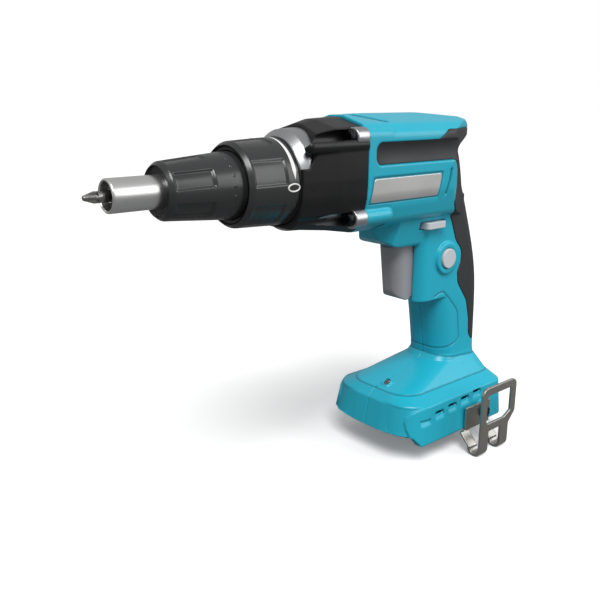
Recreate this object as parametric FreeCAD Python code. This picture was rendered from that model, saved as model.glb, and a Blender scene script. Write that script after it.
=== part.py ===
import FreeCAD, Part
import math
import os

# Cordless drywall screwdriver as an assembly of separate pieces, in millimetres.
# +X points forward along the bit, +Y to the tool's left, +Z up.
# The origin is in the middle of the battery slide, on the plane of the base's underside.

# Shared allowances
OVERRUN = 6.0
RUNNING_CLEARANCE = 0.05
SLIDING_CLEARANCE = 0.35
FIT_GAP = 0.1
PRESS_GAP = 0.02
SPINDLE_Z = 170.0

# Barrel of the housing
BODY_FRONT_X = 82.0
BODY_TAIL_X = -21.5
BODY_CROWN_X = 28.0
BODY_TAPER_X = 22.0
BODY_HALF_WIDTH = 27.2
BODY_RISE = 35.4
BODY_FRONT_RISE = 33.8
BODY_DROP = 31.0
TAIL_RISE = 30.8
TAIL_HALF_WIDTH = 13.5
TAIL_CORNER = 9.0
# Hand groove round the tail and the tail's rounded brow, both turned about one upright axis
TAIL_AXIS_X = 20.0
WAIST_FOOT_REACH = 43.7
WAIST_REACH = 29.0
WAIST_RISE = 14.5
WAIST_CORNER = 5.0
WAIST_LIP_REACH = 41.0
WAIST_LIP_RISE = 20.6
BROW_REACH = 30.5
BROW_RISE = 33.0
BROW_KNEE_REACH = 38.8
BROW_KNEE_RISE = 28.4
BROW_EDGE_REACH = 43.4
BROW_EDGE_RISE = 23.5
BROW_CORNER = 8.0
# Half section of the barrel: width, height and corner radius, the radius as a share of the width
BODY_SECTION_SHARES = (
    (0.52, -1.00, 0.12), (0.82, -0.83, 0.25), (0.98, -0.33, 0.80), (1.00, 0.02, 0.80),
    (1.00, 0.68, 0.20), (0.79, 0.83, 0.30), (0.00, 1.00, 0.90),
)
HOUSING_WALL = 2.8
BARREL_RIB = 2.0

# Chin over the trigger
CHIN_REAR_X = -5.0
CHIN_REACH = 62.0
CHIN_DEPTH = 14.4
CHIN_HALF_WIDTH = 13.5
CHIN_ROOT_HALF_WIDTH = 20.0
CHIN_CORNER = 5.0
CHIN_TIP_HALF_WIDTH = 5.0
CHIN_TIP_CORNER = 2.0
CHIN_PROW = 16.0
# Chin outline: length share, depth share below the barrel, corner share of the depth
CHIN_OUTLINE_SHARES = (
    (1.00, -0.25, 0.0), (0.99, 0.21, 0.3), (0.935, 0.62, 0.3), (0.80, 0.93, 0.3),
    (0.70, 1.00, 0.3), (0.00, 1.12, 0.0), (0.00, -0.25, 0.0),
)

# Handle
HANDLE_FOOT_Z = 45.0
HANDLE_HEAD_Z = 165.0
HANDLE_REAR_X = -43.0
HANDLE_DEPTH = 46.0
HANDLE_HALF_WIDTH = 17.0
HANDLE_CORNER = 12.0
# Handle stations: height, rear and front as shares of the depth, share of the half width
HANDLE_STATION_SHARES = (
    (0.00, 0.00, 0.875, 1.02), (0.118, 0.00, 0.922, 1.00), (0.286, 0.015, 0.995, 1.00),
    (0.454, 0.06, 1.065, 1.00), (0.622, 0.174, 1.13, 1.00), (0.84, 0.38, 1.24, 1.00),
    (1.00, 0.543, 1.304, 1.00),
)

# Trigger case, the deep part of the handle behind the trigger
CASE_FRONT_X = 22.5
CASE_REAR_X = -22.0
CASE_FLOOR_Z = 86.5
CASE_HALF_WIDTH = 16.6
CASE_CORNER = 8.0

# Base
BASE_FOOT_FRONT_X = 54.0
BASE_FOOT_REAR_X = -48.0
BASE_FOOT_HALF_WIDTH = 39.0
BASE_FOOT_CORNER = 17.0
BASE_REAR_CORNER = 9.0
SHOULDER_Z = 25.0
SHOULDER_FRONT_X = 49.5
SHOULDER_REAR_X = -46.5
SHOULDER_HALF_WIDTH = 37.3
SHOULDER_CORNER = 19.0
CREASE_Z = 30.0
CREASE_FRONT_X = 44.0
CREASE_REAR_X = -44.8
CREASE_HALF_WIDTH = 27.0
CREASE_CORNER = 16.0
# Where the roof turns up into the handle: shares of the way in and of the rise
ROOF_BLEND_SHARES = (0.93, 0.72)
BASE_LIP_Z = 6.3
BASE_LIP_BACK_X = 45.0
BASE_SKIRT_FRONT_X = 40.0
BAY_HEIGHT = 11.0
BAY_HALF_WIDTH = 32.5
BAY_REAR_X = -38.0
BAY_ROOF = 2.2
RAIL_REACH = 4.0
RAIL_LOW_Z = 2.0
RAIL_HEIGHT = 3.0
RAIL_FRONT_X = 36.0
VENT_COUNT = 4
VENT_FIRST_X = 26.6
VENT_PITCH = 12.9
VENT_CLIMB = 1.35
VENT_LENGTH = 8.4
VENT_HEIGHT = 2.4
VENT_Z = 17.6

# Soft grip and the finger rests
GRIP_SKIN = 1.6
# Front edge of the rear grip: distance forward of the tail and height, both as shares
GRIP_EDGE_LENGTH = 40.0
GRIP_EDGE_HEIGHT = 170.0
GRIP_EDGE_SHARES = (
    (-0.22, 0.295, 0.08), (-0.20, 0.39, 0.10), (-0.10, 0.475, 0.06), (0.16, 0.555, 0.05), (0.19, 0.60, 0.03),
    (0.11, 0.64, 0.04), (0.11, 0.685, 0.04), (0.28, 0.73, 0.04), (0.40, 0.80, 0.05), (0.49, 0.84, 0.03),
    (0.61, 0.885, 0.03), (0.53, 0.94, 0.05), (0.56, 1.04, 0.05),
    (1.30, 1.04, 0.00), (1.30, 1.115, 0.00), (1.12, 1.115, 0.03), (0.88, 1.148, 0.03), (-0.40, 1.148, 0.00),
    (-0.90, 1.13, 0.00), (-0.90, 0.295, 0.00),
)
REST_FRONT_X = 76.0
REST_REAR_X = -4.0
REST_LOW_Z = 176.8
REST_HIGH_Z = 189.5
REST_CORNER = 4.5
REST_DEPTH = 2.8
REST_PAD = 1.2
REST_BACKING = 1.4

# Bare metal name plates
PLATE_FRONT_X = 79.0
PLATE_REAR_X = 19.5
PLATE_LOW_Z = 156.5
PLATE_HIGH_Z = 169.8
PLATE_LEAN = 2.0
PLATE_CORNER = 2.0
PLATE_THICKNESS = 0.8

# Gear housing and its black cover
CASTING_FRONT_X = 126.8
CASTING_SHOULDER_X = 121.0
CASTING_FRONT_RADIUS = 22.7
CASTING_HALF_WIDTH = 24.3
CASTING_HALF_HEIGHT = 29.2
CASTING_SHOULDER_HALF_HEIGHT = 27.2
CASTING_BORE = 22.0
CASTING_BORE_DEPTH = 22.5
CLUTCH_BORE = 15.6
NOSE_TUBE_FRONT_X = 150.0
NOSE_TUBE_RADIUS = 13.6
EAR_RADIUS = 5.4
EAR_LENGTH = 9.0
EAR_INSET = 4.6
EAR_HALF_SPAN = BODY_HALF_WIDTH - EAR_INSET
EAR_RISE = 22.6
EAR_DROP = 21.4
COVER_MID_X = 101.0
COVER_FRONT_X = 126.4
COVER_MID_HALF_WIDTH = 26.9
COVER_MID_RISE = 32.9
COVER_MID_DROP = 27.6
COVER_FRONT_HALF_WIDTH = 24.4
COVER_FRONT_RISE = 26.0
COVER_FRONT_DROP = 24.6
# Cut that bares the casting: length share of the cover and rise share, seen from the side
COVER_WINDOW_SHARES = (
    (0.58, 1.20), (0.63, 0.90), (0.72, 0.72), (0.79, 0.48), (0.90, 0.24), (1.30, 0.24), (1.30, 1.20),
)
ARM_RADIUS = 3.6
ARM_INSET = 2.6
ARM_HALF_SPAN = BODY_HALF_WIDTH - ARM_INSET
ARM_RISE = 18.6
ARM_TIP_X = 125.0
COVER_SCREW_LENGTH = 24.0
SCREW_RADIUS = 2.1
SCREW_HEAD_RADIUS = 3.8
SCREW_HEAD_HEIGHT = 3.0
SCREW_CROSS_WIDTH = 1.1
SCREW_CROSS_LENGTH = 4.2
SCREW_CROSS_DEPTH = 1.6
SCREW_BOSS_RADIUS = 4.6
RIB_LENGTH = 18.5

# Depth adjusting nose
RING_REAR_X = 127.2
RING_FRONT_X = 157.3
RING_REAR_RADIUS = 23.3
RING_FRONT_RADIUS = 22.1
RING_FACE_RADIUS = 19.84
RING_CHAMFER = 2.6
RING_PANEL_COUNT = 6
RING_PANEL_DEPTH = 0.7
RING_PANEL_WIDTH = 13.0
RING_PANEL_MARGIN = 5.0
RING_PANEL_PHASE = -11.0
CASING_FRONT_X = 139.0
CASING_WALL = 1.9
SNAP_RING_WIRE = 0.9
SNAP_RING_X = 133.0
SKIRT_REAR_X = 143.5
LOCATOR_REAR_X = 158.0
LOCATOR_REAR_RADIUS = 17.2
LOCATOR_FRONT_X = 197.0
LOCATOR_NECK_RADIUS = 14.3
LOCATOR_FACE_RADIUS = 11.7
LOCATOR_CHAMFER = 2.4
LOCATOR_SEAT_LENGTH = 24.0
LOCATOR_PANEL_COUNT = 6
LOCATOR_PANEL_WIDTH = 8.5
LOCATOR_PANEL_DEPTH = 0.9
LOCATOR_PANEL_MARGIN = 7.0
LOCATOR_PANEL_PHASE = -6.5
SLEEVE_FRONT_X = 222.4
SLEEVE_RADIUS = 8.1
SLEEVE_WALL = 1.3
SLEEVE_CHAMFER = 0.6

# Bit and spindle
BIT_REACH = 20.0
BIT_LENGTH = 45.0
BIT_HEX = 6.35
BIT_NECK_RADIUS = 2.75
BIT_NECK_LENGTH = 13.0
BIT_CONE_LENGTH = 5.0
BIT_POINT_RADIUS = 1.1
BIT_FLUTE_WIDTH = 1.7
BIT_FLUTE_INNER = 0.75
SPINDLE_FRONT_X = 213.0
SPINDLE_RADIUS = 5.5
SPINDLE_STUB_RADIUS = 4.0
SOCKET_DEPTH = 25.5
MAGNET_LENGTH = 4.0
MAGNET_RADIUS = 2.9
PUSH_TRAVEL = 4.0
BUSH_FRONT_X = 148.0
BUSH_RADIUS = 8.2
CAM_RADIUS = 13.4
CAM_LENGTH = 4.5
WASHER_LENGTH = 1.1
WASHER_RADIUS = 12.4
DOG_COUNT = 3
DOG_HEIGHT = 2.6
DOG_INNER = 8.2
DOG_OUTER = 12.6
DOG_ANGLE = 34.0
DOG_REST_GAP = 2.0
SPRING_RADIUS = 5.9
SPRING_WIRE = 1.1
SPRING_TURNS = 2

# Planetary reduction
GEAR_MODULE = 0.8
SUN_TEETH = 12
PLANET_TEETH = 15
PLANET_COUNT = 3
RING_TEETH = SUN_TEETH + 2 * PLANET_TEETH
PRESSURE_ANGLE = 20.0
GEAR_BACKLASH = 0.1
SUN_ADDENDUM_SHARE = 0.95
PLANET_ADDENDUM_SHARE = 0.8
RING_ADDENDUM_SHARE = 0.65
DEDENDUM_SHARE = 1.2
FLANK_STEPS = 4
PLANET_WIDTH = 8.0
CARRIER_LENGTH = 6.5
CARRIER_RADIUS = 15.0
PIN_RADIUS = 2.0
GEAR_SIDE_GAP = 0.5
BRACKET_LENGTH = 9.0

# Brushless motor
SHAFT_RADIUS = 2.5
SHAFT_REAR_X = 6.0
BEARING_RADIUS = 8.0
BEARING_WIDTH = 5.0
REAR_BEARING_X = 8.0
STATOR_REAR_X = 32.0
STATOR_LENGTH = 28.0
STATOR_STANDOFF = 3.4
STATOR_RADIUS = BODY_HALF_WIDTH - HOUSING_WALL - STATOR_STANDOFF
STATOR_YOKE = 3.0
STATOR_TEETH = 6
STATOR_TOOTH_WIDTH = 5.0
ROTOR_SHARE = 0.524
ROTOR_RADIUS = ROTOR_SHARE * STATOR_RADIUS
ROTOR_MAGNET = 2.2
AIR_GAP = 0.7
COIL_THICKNESS = 2.6
COIL_OVERHANG = 3.5
COIL_STANDOFF = 2.0
SENSOR_BOARD = 1.6
SENSOR_BOARD_STEP = 1.5
SENSOR_BOARD_RADIUS = STATOR_RADIUS - SENSOR_BOARD_STEP
FAN_REAR_X = 66.0
FAN_LENGTH = 8.0
FAN_STANDOFF = 3.9
FAN_RADIUS = BODY_HALF_WIDTH - HOUSING_WALL - FAN_STANDOFF
FAN_PLATE = 1.4
FAN_HUB_RADIUS = 6.5
FAN_BLADES = 11
FAN_BLADE = 1.2

# Switch, trigger and controls
TRIGGER_TRAVEL = 6.0
TRIGGER_HALF_WIDTH = 9.0
TRIGGER_REAR_X = 16.0
TRIGGER_TOP_Z = 124.0
TRIGGER_LOW_Z = 87.4
TRIGGER_HEEL_X = 22.0
TRIGGER_HEEL_Z = 89.8
TRIGGER_FRONT_X = 38.6
TRIGGER_TOE_X = 34.0
TRIGGER_CORNER = 8.4
TRIGGER_WAIST_SHARE = 0.5
TRIGGER_WAIST_DROP_SHARE = 0.42
TRIGGER_TOE_SHARE = 0.1
SWITCH_FRONT_X = 5.0
SWITCH_REAR_X = -22.0
SWITCH_LOW_Z = 92.0
SWITCH_TOP_Z = 121.0
SWITCH_HALF_WIDTH = 8.0
SWITCH_SHELF = 2.0
PLUNGER_RADIUS = 2.4
PLUNGER_Z = 106.0
PLUNGER_DEPTH = 14.0
TRIGGER_SPRING_RADIUS = 3.6
TRIGGER_SPRING_WIRE = 0.8
TRIGGER_SPRING_TURNS = 5
LOCK_X = -1.6
LOCK_Z = 113.2
LOCK_RADIUS = 6.4
LOCK_TRAVEL = 2.0
LOCK_PROUD = 1.2
LOCK_COLLAR_RADIUS = 10.4
LOCK_COLLAR = 2.0
LOCK_FLANGE = 1.2
LOCK_STEM_RADIUS = 2.0
LOCK_SPRING_RADIUS = 3.2
LOCK_SPRING_WIRE = 0.5
LOCK_SPRING_TURNS = 2
LEVER_X = 13.5
LEVER_PIVOT_X = -8.0
LEVER_Z = 136.6
LEVER_HEIGHT = 4.2
LEVER_LENGTH = 17.5
LEVER_HALF_SPAN = 21.0
LEVER_NECK = 7.0
LEVER_HUB_RADIUS = 5.0
LEVER_PIN_RADIUS = 2.2
LEVER_PIN_DEPTH = 6.0
LEVER_SWING = 7.0
LEVER_CORNER = 2.2

# Electronics in the base
CONTROLLER_FRONT_X = 28.0
CONTROLLER_REAR_X = -32.0
CONTROLLER_HALF_WIDTH = 23.0
CONTROLLER_HEIGHT = 11.0
TERMINAL_REAR_X = -36.0
TERMINAL_FRONT_X = -16.0
TERMINAL_HALF_WIDTH = 17.0
TERMINAL_HEIGHT = 8.5
BLADE_LENGTH = 16.0
BLADE_THICKNESS = 0.8
BLADE_HEIGHT = 5.0
BLADE_SPAN = 11.0
LAMP_X = 36.0
LAMP_Y = 4.2
LAMP_RADIUS = 2.3
LAMP_HOOD_RADIUS = 3.5
LAMP_HOOD_RISE = 2.0
LAMP_LENGTH = 9.0
LAMP_TILT = 35.0
LAMP_BOARD = 1.6

# Belt hook
HOOK_STRIP = 1.8
HOOK_SEAT_STEP = 0.4
HOOK_REACH = 17.2
HOOK_BEND_REACH = 7.1
HOOK_SEAT_Y = BASE_FOOT_HALF_WIDTH + HOOK_SEAT_STEP
HOOK_OUTER_Y = HOOK_SEAT_Y + HOOK_REACH
HOOK_BEND_Z = -8.0
HOOK_BEND_Y = HOOK_SEAT_Y + HOOK_BEND_REACH
HOOK_FRONT_X = 3.5
HOOK_LEG = 8.5
HOOK_LEG_SPAN = 30.0
HOOK_TOP_Z = 34.7
HOOK_FLARE = 6.5
HOOK_FLARE_Z = 11.0
HOOK_BAR = 5.4
HOOK_CROSS_LOW_Z = 4.0
HOOK_CORNER = 5.0
HOOK_PLATE_TOP_Z = 16.0
HOOK_PLATE_STEP = 4.5
HOOK_SCREW_X = -20.0
HOOK_SCREW_Z = 8.6
HOOK_SCREW_RADIUS = 2.0
HOOK_PAD_RADIUS = 7.0
INSERT_RADIUS = 3.1
INSERT_LENGTH = 5.6

# Screws that clamp the two housing halves: place along, height and depth of the head's seat
HOUSING_BOSS_RADIUS = 5.4
HOUSING_SCREW_GRIP_SHARE = 0.8
CHIN_SCREW = (45.0, 134.5, 11.0)
TAIL_SCREW = (-10.0, 194.2, 12.0)
WEB_SCREW = (-19.5, 142.0, 12.0)
GRIP_SCREW = (-24.0, 66.0, 12.0)
TOE_SCREW = (38.5, 20.0, 27.0)
HEEL_SCREW = (-38.5, 23.0, 27.0)
HOUSING_SCREWS = (CHIN_SCREW, TAIL_SCREW, WEB_SCREW, GRIP_SCREW, TOE_SCREW, HEEL_SCREW)

ROUND_LIMIT_SHARE = 0.49
WHOLE_TURN = 360.0

# Shape helpers


def at(x, y, z):
    return FreeCAD.Vector(x, y, z)


FORWARD = at(1, 0, 0)
SIDEWAYS = at(0, 1, 0)
UPWARD = at(0, 0, 1)
AXIS_POINT = at(0, 0, SPINDLE_Z)


def block(x0, x1, y0, y1, z0, z1):
    return Part.makeBox(x1 - x0, y1 - y0, z1 - z0, at(x0, y0, z0))


def rod_x(x0, x1, radius, y=0, z=SPINDLE_Z):
    return Part.makeCylinder(radius, x1 - x0, at(x0, y, z), FORWARD)


def rod_y(y0, y1, radius, x, z):
    return Part.makeCylinder(radius, y1 - y0, at(x, y0, z), SIDEWAYS)


def rod_z(z0, z1, radius, x, y):
    return Part.makeCylinder(radius, z1 - z0, at(x, y, z0), UPWARD)


def pipe_x(x0, x1, outer, inner):
    return rod_x(x0, x1, outer).cut(rod_x(x0 - OVERRUN, x1 + OVERRUN, inner))


def turned(profile):
    """Solid of revolution about the spindle axis from (x, radius) corners."""
    points = [at(x, 0, SPINDLE_Z + radius) for x, radius in profile]
    face = Part.Face(Part.makePolygon(points + points[:1]))
    return face.revolve(AXIS_POINT, FORWARD, WHOLE_TURN)


def about_axis(shape, angle):
    turned_copy = shape.copy()
    turned_copy.rotate(AXIS_POINT, FORWARD, angle)
    return turned_copy


def mirrored(shape):
    return shape.mirror(at(0, 0, 0), SIDEWAYS)


def joined(shapes):
    whole = shapes[0].multiFuse(shapes[1:])
    return whole.removeSplitter()


def rounded_wire(corners, place):
    """Closed wire through flat corners (u, v, radius), each rounded by a tangent arc."""
    flat = [FreeCAD.Vector(u, v, 0) for u, v, _ in corners]
    stretches = []
    for index, (_, _, radius) in enumerate(corners):
        here = flat[index]
        back = flat[index - 1] - here
        ahead = flat[(index + 1) % len(flat)] - here
        half = back.getAngle(ahead) / 2
        room = ROUND_LIMIT_SHARE * min(back.Length, ahead.Length)
        reach = min(radius / math.tan(half), room)
        if reach <= 0:
            stretches.append((here, None, here))
            continue
        back.normalize()
        ahead.normalize()
        bisector = (back + ahead).normalize()
        radius = reach * math.tan(half)
        middle = here + bisector * (radius / math.sin(half) - radius)
        stretches.append((here + back * reach, middle, here + ahead * reach))
    edges = []
    for index, (start, middle, end) in enumerate(stretches):
        if middle is not None:
            arc = Part.Arc(place(start.x, start.y), place(middle.x, middle.y), place(end.x, end.y))
            edges.append(arc.toShape())
        following = stretches[(index + 1) % len(stretches)][0]
        edges.append(Part.makeLine(place(end.x, end.y), place(following.x, following.y)))
    return Part.Wire(edges)


def side_prism(corners, y0, y1):
    wire = rounded_wire(corners, lambda u, v: at(u, y0, v))
    return Part.Face(wire).extrude(at(0, y1 - y0, 0))


def front_wire(corners, x):
    return rounded_wire(corners, lambda u, v: at(x, u, v))


def front_prism(corners, x0, x1):
    return Part.Face(front_wire(corners, x0)).extrude(at(x1 - x0, 0, 0))


def floor_wire(corners, z):
    return rounded_wire(corners, lambda u, v: at(u, v, z))


def floor_prism(corners, z0, z1):
    return Part.Face(floor_wire(corners, z0)).extrude(at(0, 0, z1 - z0))


def rectangle(u0, u1, v0, v1, radius):
    return [(u0, v0, radius), (u1, v0, radius), (u1, v1, radius), (u0, v1, radius)]


def spring_wire(start, axis, side, radius, wire, turns, length):
    """Coil spring as one tube along biarcs of a quarter turn, and its least gap between turns."""
    across = axis.cross(side)
    pitch = length / turns
    quarter = math.pi / 2

    def spot(angle):
        rise = axis * (pitch * angle / (2 * math.pi))
        return start + side * (radius * math.cos(angle)) + across * (radius * math.sin(angle)) + rise

    def heading(angle):
        rise = axis * (pitch / (2 * math.pi))
        tangent = side * (-radius * math.sin(angle)) + across * (radius * math.cos(angle)) + rise
        return tangent.normalize()

    def arc(first, corner, last):
        chord_middle = (first + last) * 0.5
        lean = (chord_middle - first).Length / (corner - first).Length
        middle = chord_middle + (corner - chord_middle) * (lean / (1 + lean))
        return Part.Arc(first, middle, last).toShape()

    edges = []
    for step in range(4 * turns):
        first, last = spot(step * quarter), spot((step + 1) * quarter)
        leave, arrive = heading(step * quarter), heading((step + 1) * quarter)
        span = last - first
        both = span.dot(leave + arrive)
        spread = 2 * (1 - leave.dot(arrive))
        reach = (math.sqrt(both * both + spread * span.dot(span)) - both) / spread
        corner_a = first + leave * reach
        corner_b = last - arrive * reach
        meeting = (corner_a + corner_b) * 0.5
        edges.append(arc(first, corner_a, meeting))
        edges.append(arc(meeting, corner_b, last))
    ring = Part.Wire(Part.makeCircle(wire / 2, spot(0), heading(0)))
    print("spring least gap", round(pitch - wire, 2))
    return Part.Wire(edges).makePipeShell([ring], True, False)


def gear_outline(teeth, tip, root, thickness, phase, centre_y=0, centre_z=SPINDLE_Z, x=0):
    """Closed polygon of involute teeth in the plane across the spindle axis."""
    pitch_radius = GEAR_MODULE * teeth / 2
    pressure = math.radians(PRESSURE_ANGLE)
    base = pitch_radius * math.cos(pressure)
    involute = math.tan(pressure) - pressure

    def half_angle(radius):
        local = math.acos(min(1, base / radius))
        return thickness / (2 * pitch_radius) + involute - (math.tan(local) - local)

    low = max(base, root)
    flank = [low + (tip - low) * step / FLANK_STEPS for step in range(FLANK_STEPS + 1)]
    side = [(radius, half_angle(radius)) for radius in flank]
    if root < base:
        side.insert(0, (root, half_angle(base)))
    points = []
    for tooth in range(teeth):
        middle = phase + 2 * math.pi * tooth / teeth
        ordered = [(radius, middle - half) for radius, half in side]
        ordered += [(radius, middle + half) for radius, half in reversed(side)]
        for radius, angle in ordered:
            points.append(at(x, centre_y + radius * math.cos(angle), centre_z + radius * math.sin(angle)))
    return Part.makePolygon(points + points[:1])


# Values that follow from the sizes above
SUN_RADIUS = GEAR_MODULE * SUN_TEETH / 2
PLANET_RADIUS = GEAR_MODULE * PLANET_TEETH / 2
RING_GEAR_RADIUS = GEAR_MODULE * RING_TEETH / 2
PLANET_ORBIT = SUN_RADIUS + PLANET_RADIUS
TOOTH_THICKNESS = math.pi * GEAR_MODULE / 2
PLANET_ANGLES = [math.pi / 2 + 2 * math.pi * index / PLANET_COUNT for index in range(PLANET_COUNT)]
BRACKET_FRONT_X = BODY_FRONT_X + BRACKET_LENGTH
PLANET_REAR_X = BRACKET_FRONT_X + GEAR_SIDE_GAP
CARRIER_REAR_X = PLANET_REAR_X + PLANET_WIDTH + GEAR_SIDE_GAP
CARRIER_FRONT_X = CARRIER_REAR_X + CARRIER_LENGTH
CAM_REAR_X = CARRIER_FRONT_X + 2 * DOG_HEIGHT + DOG_REST_GAP
CAM_FRONT_X = CAM_REAR_X + CAM_LENGTH
CLUTCH_WALL_X = CAM_FRONT_X + WASHER_LENGTH + 2 * FIT_GAP
BODY_LOW_Z = SPINDLE_Z - BODY_DROP
BAY_TOP_Z = BAY_HEIGHT + BAY_ROOF
EAR_CENTRES = [
    (side * EAR_HALF_SPAN, SPINDLE_Z + rise) for side in (-1, 1) for rise in (EAR_RISE, -EAR_DROP)
]

# Outer form of the housing


def body_section(half_width, rise, drop):
    half = []
    for width_share, height_share, round_share in BODY_SECTION_SHARES:
        reach = rise if height_share > 0 else drop
        height = SPINDLE_Z + height_share * reach
        half.append((width_share * half_width, height, round_share * half_width))
    return half + [(-y, z, radius) for y, z, radius in reversed(half[:-1])]


def barrel_plan(front_x, rear_x, slim, low_z, high_z):
    """Barrel seen from above, straight at the front and drawn in towards the rear."""
    wide = BODY_HALF_WIDTH + OVERRUN
    plan = [
        (front_x, -wide, 0), (front_x, wide, 0), (BODY_TAPER_X, wide, BODY_HALF_WIDTH),
        (rear_x, slim, TAIL_CORNER), (rear_x, -slim, TAIL_CORNER), (BODY_TAPER_X, -wide, BODY_HALF_WIDTH),
    ]
    return floor_prism(plan, low_z, high_z)


def tail_turned(corners):
    """Upright outline taken half way round the tail, from the left to the right."""
    wire = rounded_wire(corners, lambda u, v: at(TAIL_AXIS_X, u, v))
    return Part.Face(wire).revolve(at(TAIL_AXIS_X, 0, 0), UPWARD, WHOLE_TURN / 2)


def tail_far():
    return TAIL_AXIS_X - BODY_TAIL_X + 2 * OVERRUN


def tail_waist(inset):
    low_z = BODY_LOW_Z - OVERRUN
    lip_z = SPINDLE_Z + WAIST_LIP_RISE + inset
    return [
        (WAIST_FOOT_REACH - inset, low_z, 0),
        (WAIST_REACH - inset, SPINDLE_Z + WAIST_RISE + inset / 2, WAIST_CORNER),
        (WAIST_LIP_REACH - inset, lip_z, 0),
        (tail_far(), lip_z, 0),
        (tail_far(), low_z, 0),
    ]


def tail_brow(inset):
    high_z = SPINDLE_Z + BODY_RISE + OVERRUN
    edge_z = SPINDLE_Z + BROW_EDGE_RISE - inset / 2
    return [
        (BROW_REACH - inset, SPINDLE_Z + BROW_RISE - inset, 0),
        (BROW_KNEE_REACH - inset, SPINDLE_Z + BROW_KNEE_RISE - inset / 2, BROW_CORNER),
        (BROW_EDGE_REACH - inset, edge_z, 0),
        (tail_far(), edge_z, 0),
        (tail_far(), high_z, 0),
        (BROW_REACH - inset, high_z, 0),
    ]


def barrel_form(inset, front_x):
    section = body_section(BODY_HALF_WIDTH - inset, BODY_RISE - inset, BODY_DROP - inset)
    core = front_prism(section, BODY_TAIL_X - OVERRUN, front_x)
    low_z = BODY_LOW_Z + inset
    tail_x = BODY_TAIL_X + inset
    side = [
        (front_x, low_z, 0),
        (front_x, SPINDLE_Z + BODY_FRONT_RISE - inset, 0),
        (BODY_CROWN_X, SPINDLE_Z + BODY_RISE - inset, BODY_FRONT_X),
        (tail_x, SPINDLE_Z + TAIL_RISE - inset, 0),
        (tail_x, low_z, 0),
    ]
    wide = BODY_HALF_WIDTH + OVERRUN
    body = core.common(side_prism(side, -wide, wide))
    high_z = SPINDLE_Z + BODY_RISE + OVERRUN
    body = body.common(barrel_plan(front_x, tail_x, TAIL_HALF_WIDTH - inset, BODY_LOW_Z - OVERRUN, high_z))
    return body.cut([tail_turned(tail_waist(inset)), tail_turned(tail_brow(inset))])


def chin_form(inset):
    reach = CHIN_REACH - inset
    depth = CHIN_DEPTH - inset
    side = []
    for length_share, depth_share, corner_share in CHIN_OUTLINE_SHARES:
        height = BODY_LOW_Z - depth_share * depth
        side.append((CHIN_REAR_X + length_share * reach, height, corner_share * depth))
    low_z = BODY_LOW_Z - CHIN_DEPTH - OVERRUN
    high_z = BODY_LOW_Z + CHIN_DEPTH
    narrow = CHIN_HALF_WIDTH - inset
    wide = CHIN_ROOT_HALF_WIDTH - inset
    foot_z = min(corner[1] for corner in side)
    front = [
        (-narrow, foot_z, CHIN_CORNER), (narrow, foot_z, CHIN_CORNER), (wide, high_z, 0), (-wide, high_z, 0),
    ]
    slab = side_prism(side, -CHIN_ROOT_HALF_WIDTH, CHIN_ROOT_HALF_WIDTH)
    slab = slab.common(front_prism(front, CHIN_REAR_X - OVERRUN, CHIN_REAR_X + CHIN_REACH + OVERRUN))
    prow_x = max(corner[0] for corner in side)
    rear_x = CHIN_REAR_X - OVERRUN
    tip = CHIN_TIP_HALF_WIDTH - inset
    prow = [
        (rear_x, -wide, 0), (prow_x - CHIN_PROW, -wide, CHIN_CORNER), (prow_x, -tip, CHIN_TIP_CORNER),
        (prow_x, tip, CHIN_TIP_CORNER), (prow_x - CHIN_PROW, wide, CHIN_CORNER), (rear_x, wide, 0),
    ]
    return slab.common(floor_prism(prow, low_z, high_z))


def footprint(sizes, z):
    """Level wire with one radius on the front corners and another on the rear ones."""
    rear, front, half, front_corner, rear_corner = sizes
    corners = [
        (rear, -half, rear_corner), (front, -half, front_corner),
        (front, half, front_corner), (rear, half, rear_corner),
    ]
    return floor_wire(corners, z)


def handle_sizes(station, inset):
    _, rear_share, front_share, width_share = station
    rear = HANDLE_REAR_X + rear_share * HANDLE_DEPTH + inset
    front = HANDLE_REAR_X + front_share * HANDLE_DEPTH - inset
    half = width_share * HANDLE_HALF_WIDTH - inset
    return rear, front, half, HANDLE_CORNER - inset, HANDLE_CORNER - inset


def handle_wire(station, inset):
    foot_z = HANDLE_FOOT_Z - inset
    return footprint(handle_sizes(station, inset), foot_z + station[0] * (HANDLE_HEAD_Z - foot_z))


def case_form(inset):
    half = CASE_HALF_WIDTH - inset
    outline = rectangle(CASE_REAR_X, CASE_FRONT_X - inset, -half, half, CASE_CORNER - inset)
    return floor_prism(outline, CASE_FLOOR_Z + inset, BODY_LOW_Z + CHIN_DEPTH)


def between(first, last, share):
    return [a + share * (b - a) for a, b in zip(first, last)]


def drawn_in(sizes, inset):
    rear, front, half, front_corner, rear_corner = sizes
    return rear + inset, front - inset, half - inset, front_corner - inset, rear_corner - inset


FOOT_SIZES = (BASE_FOOT_REAR_X, BASE_FOOT_FRONT_X, BASE_FOOT_HALF_WIDTH, BASE_FOOT_CORNER, BASE_REAR_CORNER)
SHOULDER_SIZES = (SHOULDER_REAR_X, SHOULDER_FRONT_X, SHOULDER_HALF_WIDTH, SHOULDER_CORNER, BASE_REAR_CORNER)
CREASE_SIZES = (CREASE_REAR_X, CREASE_FRONT_X, CREASE_HALF_WIDTH, CREASE_CORNER, BASE_REAR_CORNER)


def base_wire(z, inset):
    sizes = between(FOOT_SIZES, SHOULDER_SIZES, z / SHOULDER_Z)
    return footprint(drawn_in(sizes, inset), z)


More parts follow.
